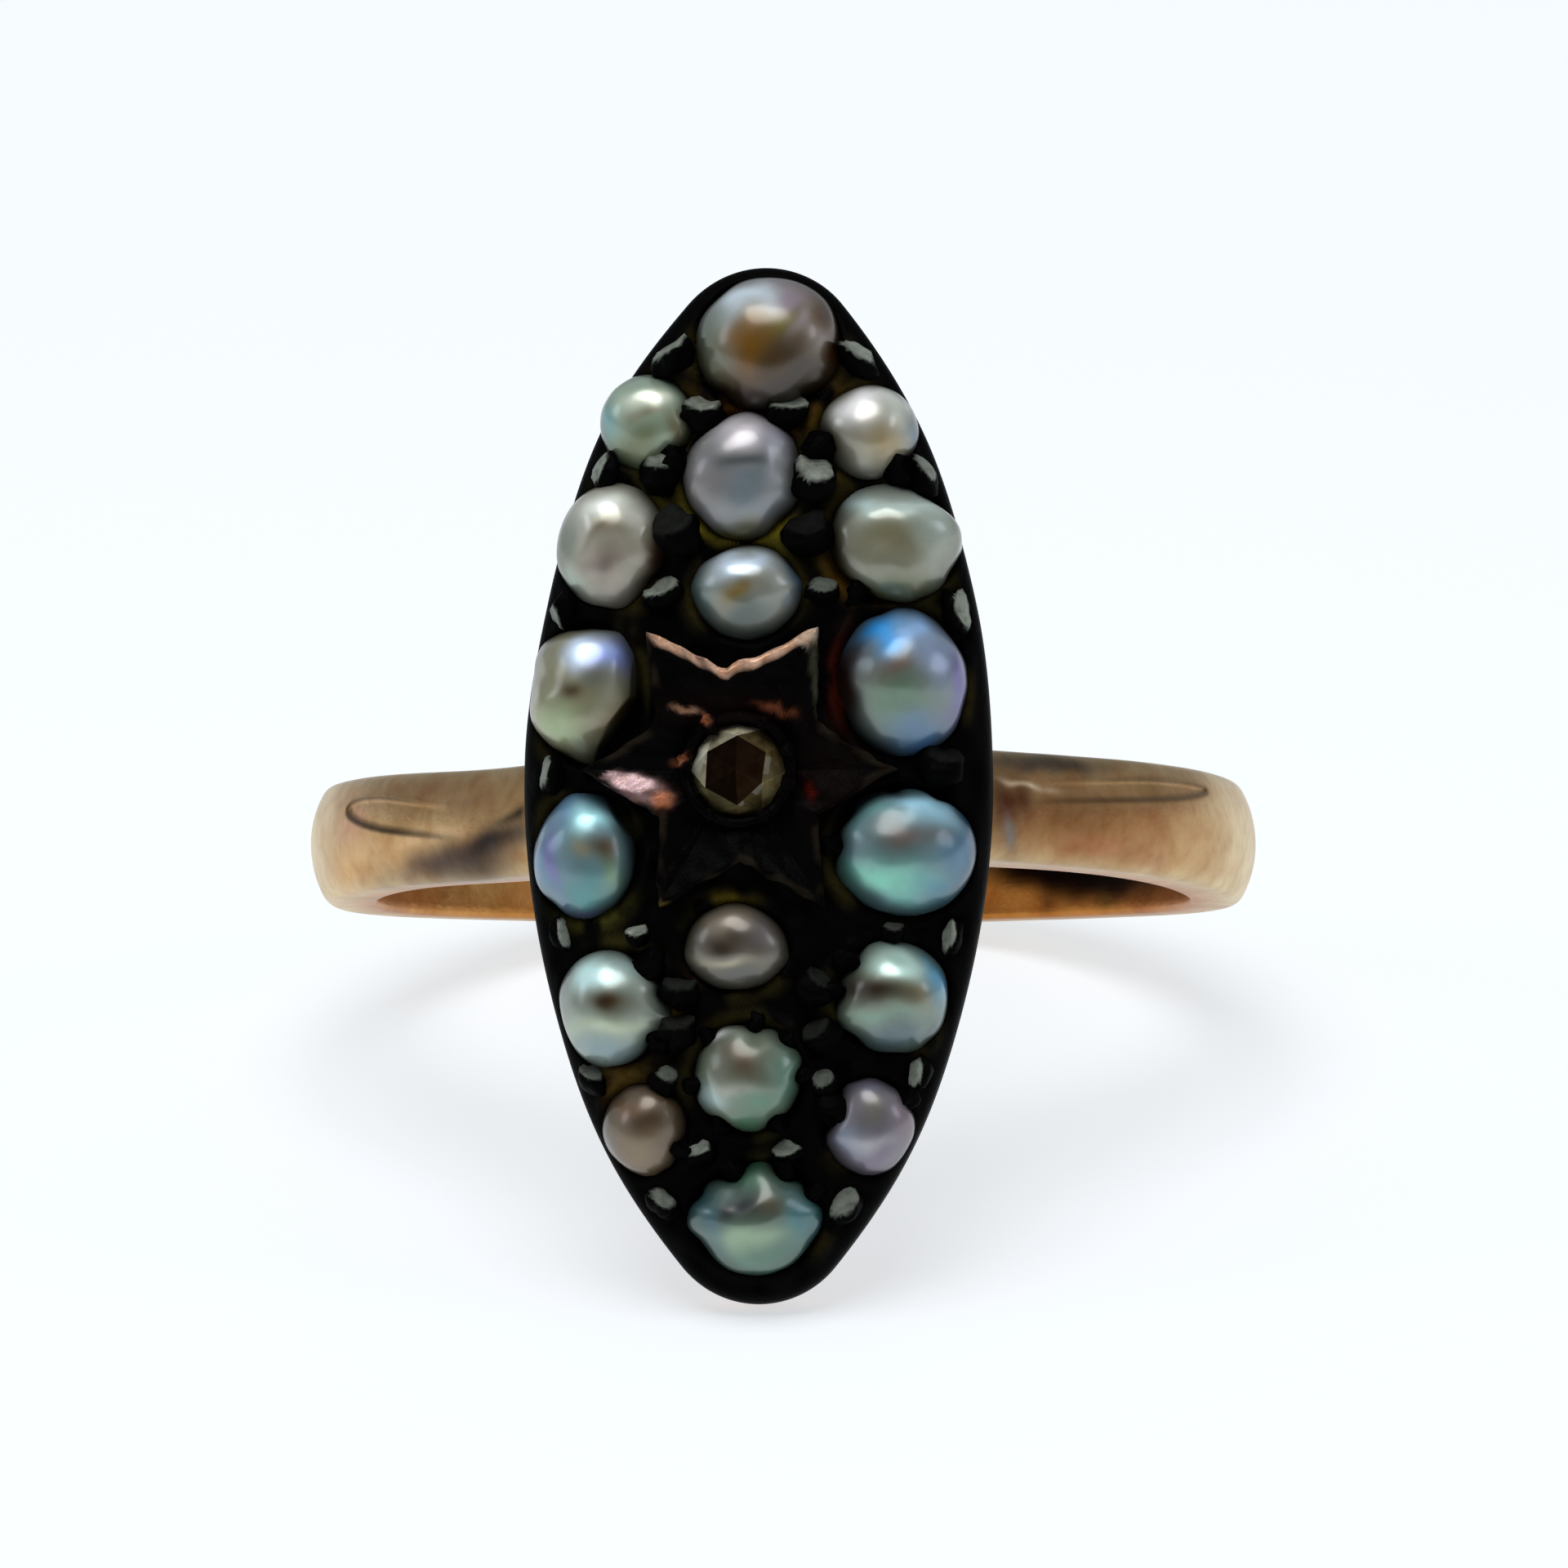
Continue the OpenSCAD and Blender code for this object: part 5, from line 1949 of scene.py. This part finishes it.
@dataclass
class Star(SetPiece):
    """The raised gold star with its worn rim, V-cut rays, and the collet and claws.

    The rim between two of its points is painted bright, as worn gold with a painted highlight,
    and is nearly black elsewhere. A tip is an angle in degrees and a share of the reach, a
    valley a share of an even star's, and a grain an angle and a size. A row of rim_profile is a
    share of the rim's width, a height above its inner edge and how much it wears, which also
    scales the painted highlight, and a row of collet_profile a radius and a height above that edge.
    """

    node = "star"
    made = "gold_star"
    slot = Slot.STAR_GOLD
    smooth = False
    thick: float = 0.95
    rim: float = 0.15
    cut: float = 0.6
    stone_r: float = 1.0
    steps: int = 16
    ray_rows: int = 30
    ray_wear: float = 0.5
    collet_around: int = 72
    dark: Colour = (0.010, 0.005, 0.004)
    worn: Colour = (0.13, 0.11, 0.08)
    # Colour of the rim's painted highlight over the worn gold.
    bright: Colour = (0.96, 0.79, 0.68)
    bright_points: tuple[int, int] = (1, 2)
    tips: tuple[tuple[float, float], ...] = (
        (0, 0.98),
        (60.5, 1.02),
        (123.5, 1.05),
        (180, 0.97),
        (240, 1.0),
        (302, 1.02),
    )
    valleys: tuple[float, ...] = (1.0, 1.1, 1.0, 1.0, 1.0, 1.0)
    top_valley_shift: float = 0.12
    rag: float = 0.012
    rag_mm: float = 0.45
    relief: float = 0.02
    collet_relief: float = 0.03
    relief_mm: float = 0.6
    drift: float = 0.03
    drift_mm: float = 0.35
    wall: float = 0.3
    shine: float = 0.4
    claw_r: float = 0.28
    claw_lumps: float = 0.2
    claw_out: float = 0.1
    rim_profile: tuple[tuple[float, float, float], ...] = (
        (0.25, 0.012, 0.9),
        (0.5, 0.02, 1.0),
        (0.75, 0.012, 1.0),
        (1.0, -0.03, 0.9),
        (1.0, -0.2, 0.2),
        (1.0, 0.0, 0.0),
    )
    collet_profile: tuple[tuple[float, float], ...] = (
        (0.6, -0.5),
        (0.98, -0.48),
        (1.0, -0.1),
        (1.03, -0.03),
        (1.09, -0.01),
        (1.15, -0.02),
        (1.19, -0.06),
        (1.21, -0.14),
        (1.24, -0.7),
        (0.8, -0.75),
    )
    grains: tuple[tuple[float, float], ...] = (
        (122, 0.7),
        (60, 0.6),
        (172, 0.6),
        (238, 0.5),
        (300, 0.5),
        (345, 0.6),
        (20, 0.5),
    )

    @property
    def top_z(self) -> float:
        """Height of the rim."""
        return self.under_z + self.thick

    def edge(self) -> np.ndarray:
        """The outline walked in even steps between its points and valleys, slightly ragged.

        Returns:
            Places about the star's middle, two numbers each.
        """
        angles = np.radians([tip[0] for tip in self.tips])
        reach = self.reach * np.array([tip[1] for tip in self.tips])
        points = np.stack([reach * np.cos(angles), reach * np.sin(angles)], -1)
        between = (points + np.roll(points, -1, 0)) / 2
        depth = self.reach / math.sqrt(3) * np.array(self.valleys)[:, None]
        valleys = between * depth / np.linalg.norm(between, axis=1, keepdims=True)
        valleys[1, 0] -= self.top_valley_shift
        corners = np.stack([points, valleys], 1).reshape(-1, 2)
        share = (np.arange(self.steps) / self.steps)[None, :, None]
        line = (corners[:, None] * (1 - share) + np.roll(corners, -1, 0)[:, None] * share).reshape(-1, 2)
        rag = ripple(np.column_stack([line, 0 * line[:, 0]]), self.rag_mm, seed=61)
        return line * (1 + self.rag * rag)[:, None]

    def painted(
        self,
        rings: np.ndarray,
        rim: np.ndarray | float = 0.0,
        gleam: np.ndarray | float = 0.0,
    ) -> Shell:
        """Paints rings about the star's middle, closes them and moves them to their place.

        Args:
            rings: Points as rings by places by 3.
            rim: How much of each point is rim, which wears.
            gleam: How much of each point is painted bright, as worn gold with a painted highlight.

        Returns:
            The closed skin.
        """
        x = rings[..., 0] + self.drift * ripple(rings, self.drift_mm, seed=65)
        y = rings[..., 1] + self.drift * ripple(rings, self.drift_mm, seed=66)
        upper = (rings[..., 2] > self.under_z + self.wall) * 1.0
        wear = rim * smooth_step(-0.6, 0.9, ripple(rings, 0.8, seed=67)) * upper
        skin = blend(blend(linear(self.dark), self.worn, wear), self.bright, gleam * upper)
        skin = paint(skin, STAR_PATCHES, x, y, upper)
        shine = self.shine * smooth_step(0.02, 0.3, skin.mean(-1))
        return Shell.from_rings(rings + np.array([*self.middle, 0]), skin, shine)

    def body(self) -> Shell:
        """Builds the star: wall, rounded rim and rays that fall in facets to the middle.

        Inside the rim the surface runs straight from the rim's inner edge to a middle that
        lies deeper by the cut.

        Returns:
            The closed skin.
        """
        edge = self.edge()
        inner = edge * (1 - 2 * self.rim / self.reach)
        fall = np.linspace(0.97, 0.0, self.ray_rows)[:, None, None]
        floor = np.concatenate([inner, np.full((len(edge), 1), self.top_z)], -1)
        rays = floor[None] * (1 - fall) + np.array([0, 0, self.top_z - self.cut]) * fall
        share, lift, worn = np.array(self.rim_profile).T
        out = inner[None] + share[:, None, None] * (edge - inner)[None]
        z = self.top_z + np.broadcast_to(lift[:, None], out.shape[:2])
        rim = np.concatenate([out, z[..., None]], -1)
        rim[-1, :, 2] = self.under_z
        rings = np.concatenate([rays, rim, rim[-1:] * np.array([0.5, 0.5, 1])])
        upper = rings[..., 2] > self.under_z + self.wall
        rings[..., 2] += self.relief * ripple(rings, self.relief_mm, seed=62) * upper
        wear = np.concatenate([np.zeros(self.ray_rows - 1), [self.ray_wear], worn, [0.0]])
        # The rim's V between the two bright points gets the painted highlight.
        start, end = 2 * self.steps * self.bright_points[0], 2 * self.steps * self.bright_points[1]
        along = np.arange(len(edge))
        window = smooth_step(start - 1, start + 2, along) * smooth_step(end + 1, end - 2, along)
        gleam = wear[:, None] * window * np.clip(0.8 + 0.3 * ripple(rings, 0.3, seed=68), 0, 1)
        return self.painted(rings, wear[:, None], gleam)

    def collet(self) -> Shell:
        """Builds the collet: a round wall with a soft upper edge round the stone.

        Returns:
            The closed skin.
        """
        turn = np.arange(self.collet_around) / self.collet_around * 2 * np.pi
        ring = np.stack([np.cos(turn), np.sin(turn)], -1)
        radius, height = np.array(self.collet_profile).T[..., None, None]
        z = np.broadcast_to(self.top_z + height, (len(height), len(turn), 1))
        rings = np.concatenate([radius * ring, z], -1)
        rings[..., 2] += self.collet_relief * ripple(rings, self.relief_mm, seed=64)
        return self.painted(rings)

    def claws(self) -> list[Shell]:
        """Builds the small gold grains that hold the stone.

        Returns:
            One closed skin for each grain.
        """
        fall = np.linspace(0.15, 2.6, 8)[:, None]
        turn = np.arange(14)[None, :] / 14 * 2 * np.pi
        unit = ball(fall, turn)
        shells = []
        for number, (angle, size) in enumerate(self.grains):
            way = (self.stone_r + self.claw_out) * heading(angle)
            lumps = self.claw_lumps * ripple(unit, 1.2, seed=70 + number)
            body = unit * (1 + lumps)[..., None] * self.claw_r * size
            shells.append(self.painted(body + np.array([*way, self.top_z + 0.02])))
        return shells

    def shell(self) -> Shell:
        """Joins the star's body, the collet and the claws."""
        return Shell.joined([self.body(), self.collet(), *self.claws()])


@dataclass
class RoseCutStone(SetPiece):
    """The rose-cut stone: a girdle, two rows of facets and a table.

    The glints are one colour for each sixth of the crown, from the right side anticlockwise.
    """

    node = "rose_cut_stone"
    made = "cut_stone"
    slot = Slot.ROSE_CUT
    smooth = False
    crown: float = 0.42
    girdle: float = 0.15
    table: float = 0.7
    facet_lights: tuple[float, ...] = (0.9, 1.0, 0.6)
    girdle_light: float = 0.5
    table_colour: Colour = (0.14, 0.09, 0.05)
    table_corners: tuple[float, ...] = (1.0, 1.02, 1.05, 1.12, 1.1, 0.85)
    table_lights: tuple[float, ...] = (0.7, 0.35, 0.5, 0.3, 1.1, 0.8)
    glints: tuple[Colour, ...] = (
        (0.42, 0.37, 0.24),
        (0.78, 0.77, 0.66),
        (0.90, 0.90, 0.80),
        (0.44, 0.41, 0.28),
        (0.42, 0.38, 0.25),
        (0.52, 0.48, 0.33),
    )

    def shell(self) -> Shell:
        """Builds the stone, each facet with corners of its own, so that it keeps one glint.

        Returns:
            The closed skin.
        """
        turn = np.radians(30 * np.arange(12))
        flat = self.reach * np.stack([np.cos(turn), np.sin(turn)], -1)
        low = np.column_stack([flat, np.full(12, self.under_z)])
        edge = low + np.array([0, 0, self.girdle])
        up = np.radians(60 * np.arange(6) + 30)
        r = self.table * self.reach * np.array(self.table_corners)
        height = self.under_z + self.girdle + self.crown
        table = np.stack([r * np.cos(up), r * np.sin(up), np.full(6, height)], -1)
        facets, glints = [], []
        for i in range(6):
            a, b, c, d = edge[2 * i], edge[2 * i + 1], edge[(2 * i + 2) % 12], edge[(2 * i + 3) % 12]
            t, u = table[i], table[(i + 1) % 6]
            facets += [(a, b, t), (b, c, t), (t, c, u), (t, u, table.mean(0))]
            own, dim = linear(self.glints[i]), linear(self.table_colour)
            glints += [own * light for light in self.facet_lights]
            glints.append(dim * self.table_lights[i])
        for i in range(12):
            j = (i + 1) % 12
            facets += [(low[i], low[j], edge[j]), (low[i], edge[j], edge[i])]
            facets.append((low[j], low[i], np.array([0, 0, self.under_z])))
            glints += [linear(self.glints[i // 2]) * self.girdle_light] * 3
        points = np.array(facets).reshape(-1, 3)
        points[:, :2] += self.middle
        triangles = np.arange(len(points)).reshape(-1, 3)
        skin = np.repeat(np.array(glints), 3, axis=0)
        return Shell(points, np.zeros((0, 4), int), triangles, skin, np.zeros(len(points)))


@dataclass(frozen=True)
class SoftBox:
    """A soft area light: where it stands, as seen from the ring, and how it shines."""

    name: str
    azimuth: float
    elevation: float
    distance: float
    size: float
    power: float
    colour: Colour = (1.0, 1.0, 1.0)

    def place(self) -> None:
        """Sets the light up, facing the ring."""
        data = bpy.data.lights.new(self.name, "AREA")
        data.shape = "DISK"
        data.size = self.size * MM
        data.energy = self.power
        data.color = self.colour
        lamp = bpy.data.objects.new(self.name, data)
        bpy.context.scene.collection.objects.link(lamp)
        a, e = math.radians(self.azimuth), math.radians(self.elevation)
        way = np.array([math.sin(a) * math.cos(e), -math.cos(a) * math.cos(e), math.sin(e)])
        lamp.location = (way * self.distance * MM).tolist()
        lamp.rotation_euler = lamp.location.to_track_quat("Z", "Y").to_euler()


@dataclass
class Studio:
    """The pale floor, the soft light and the camera at the photo's angle to the ring."""

    floor_z: float
    yaw: float = 2.8
    pitch: float = 4.2
    distance: float = 450.0
    pixels_per_mm: float = 57.85
    hoop_pixel: tuple[float, float] = (959.5, 1029.0)
    image_side: float = 1920.0
    sensor: float = 36.0
    floor_side: float = 6000.0
    floor_colour: Colour = (0.52, 0.54, 0.56)
    floor_glow: float = 0.635
    glow_colour: Colour = (0.93, 0.97, 1.0)
    sky_strength: float = 0.38
    sky_light: Colour = (0.84, 0.90, 0.96)
    sky_dark: Colour = (0.07, 0.045, 0.03)
    sky_way: tuple[float, float, float] = (0.05, -0.93, 0.36)
    sky_span: tuple[float, float] = (0.62, 0.90)
    boxes: tuple[SoftBox, ...] = (
        SoftBox("over_light", -14, 76, 300, 220, 0.42, (1.0, 0.99, 0.98)),
        SoftBox("left_light", -80, 25, 380, 150, 0.10, (0.80, 0.88, 1.0)),
        SoftBox("right_light", 80, 25, 380, 150, 0.10, (0.86, 0.86, 1.0)),
    )

    def camera(self, frame: RingFrame) -> None:
        """Sets the camera up.

        It looks at the head from yaw to the right and pitch below its normal, from far away,
        and is aimed so that the hoop's middle falls on the photo's pixel.

        Args:
            frame: Frame that lays the ring down.
        """
        yaw, pitch = math.radians(self.yaw), math.radians(self.pitch)
        level = math.cos(pitch)
        view = np.array([math.sin(yaw) * level, -math.sin(pitch), math.cos(yaw) * level])
        right = np.cross([0, 1, 0], view)
        right /= np.linalg.norm(right)
        up = np.cross(view, right)
        middle = self.image_side / 2
        target = right * (middle - self.hoop_pixel[0]) / self.pixels_per_mm
        target = target + up * (self.hoop_pixel[1] - middle) / self.pixels_per_mm
        data = bpy.data.cameras.new("camera")
        data.sensor_width = self.sensor
        data.lens = self.sensor * self.distance * self.pixels_per_mm / self.image_side
        data.clip_start, data.clip_end = 0.01, 100
        body = bpy.data.objects.new("camera", data)
        bpy.context.scene.collection.objects.link(body)
        matrix = np.eye(4)
        matrix[:3, :3] = (frame.lay(np.stack([right, up, view])) / MM).T
        matrix[:3, 3] = frame.lay(target + view * self.distance)
        body.matrix_world = matrix.T.tolist()
        bpy.context.scene.camera = body

    def floor(self) -> None:
        """Lays the pale floor, which glows a little so that its shadows stay light."""
        half = self.floor_side / 2 * MM
        z = self.floor_z
        corners = [(-half, -half, z), (half, -half, z), (half, half, z), (-half, half, z)]
        mesh = bpy.data.meshes.new("floor")
        mesh.from_pydata(corners, [], [(0, 1, 2, 3)])
        floor = bpy.data.objects.new("floor", mesh)
        bpy.context.scene.collection.objects.link(floor)
        material = bpy.data.materials.new("pale_floor")
        material.use_nodes = True
        shader = material.node_tree.nodes["Principled BSDF"]
        shader.inputs["Base Color"].default_value = (*self.floor_colour, 1)
        shader.inputs["Roughness"].default_value = 0.9
        shader.inputs["Specular IOR Level"].default_value = 0.0
        shader.inputs["Emission Color"].default_value = (*self.glow_colour, 1)
        shader.inputs["Emission Strength"].default_value = self.floor_glow
        mesh.materials.append(material)
        floor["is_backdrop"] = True

    def sky(self) -> None:
        """Surrounds the ring with pale light that darkens to brown on the side of the viewer."""
        world = bpy.data.worlds.new("studio")
        bpy.context.scene.world = world
        world.use_nodes = True
        tree = world.node_tree
        tree.nodes.clear()
        place = tree.nodes.new("ShaderNodeTexCoord")
        facing = tree.nodes.new("ShaderNodeVectorMath")
        facing.operation = "DOT_PRODUCT"
        facing.inputs[1].default_value = self.sky_way
        tree.links.new(place.outputs["Generated"], facing.inputs[0])
        ramp = tree.nodes.new("ShaderNodeValToRGB")
        light, dark = ramp.color_ramp.elements
        light.position, dark.position = self.sky_span
        light.color = (*self.sky_light, 1)
        dark.color = (*self.sky_dark, 1)
        tree.links.new(facing.outputs["Value"], ramp.inputs["Fac"])
        shine = tree.nodes.new("ShaderNodeBackground")
        shine.inputs["Strength"].default_value = self.sky_strength
        tree.links.new(ramp.outputs["Color"], shine.inputs["Color"])
        out = tree.nodes.new("ShaderNodeOutputWorld")
        tree.links.new(shine.outputs["Background"], out.inputs["Surface"])

    def build(self, frame: RingFrame) -> None:
        """Sets up the floor, the sky, the lights and the camera.

        Args:
            frame: Frame that lays the ring down.
        """
        self.floor()
        self.sky()
        for box in self.boxes:
            box.place()
        self.camera(frame)
        bpy.context.scene.view_settings.view_transform = "Standard"


def main() -> None:
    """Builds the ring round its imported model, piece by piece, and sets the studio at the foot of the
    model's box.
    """
    logging.basicConfig(level=logging.INFO, format="%(name)s: %(message)s")
    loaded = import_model()
    cad_box = [list(corner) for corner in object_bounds()]
    record, nodes = loaded["record"], loaded["nodes"]
    frame = RingFrame.from_record(record)
    finishes = Finishes()
    finishes.make_all()

    head = Head.from_node(frame.node_points(nodes["head"]))
    for number, look in enumerate(PEARL_LOOKS, start=1):
        node = f"pearl_{number:02d}"
        points = frame.node_points(nodes[node])
        head.pearls.append(HalfPearl.from_node(node, look, number, points, head.top))
    shank = Shank.from_frame(record, head)
    star = Star.from_node(frame.node_points(nodes["star"]))
    stone = RoseCutStone.from_node(frame.node_points(nodes["rose_cut_stone"]))
    for piece in [shank, head, star, stone, *head.pearls]:
        piece.build(frame, finishes)
    Studio(floor_z=cad_box[0][2]).build(frame)


if __name__ == "__main__":
    main()
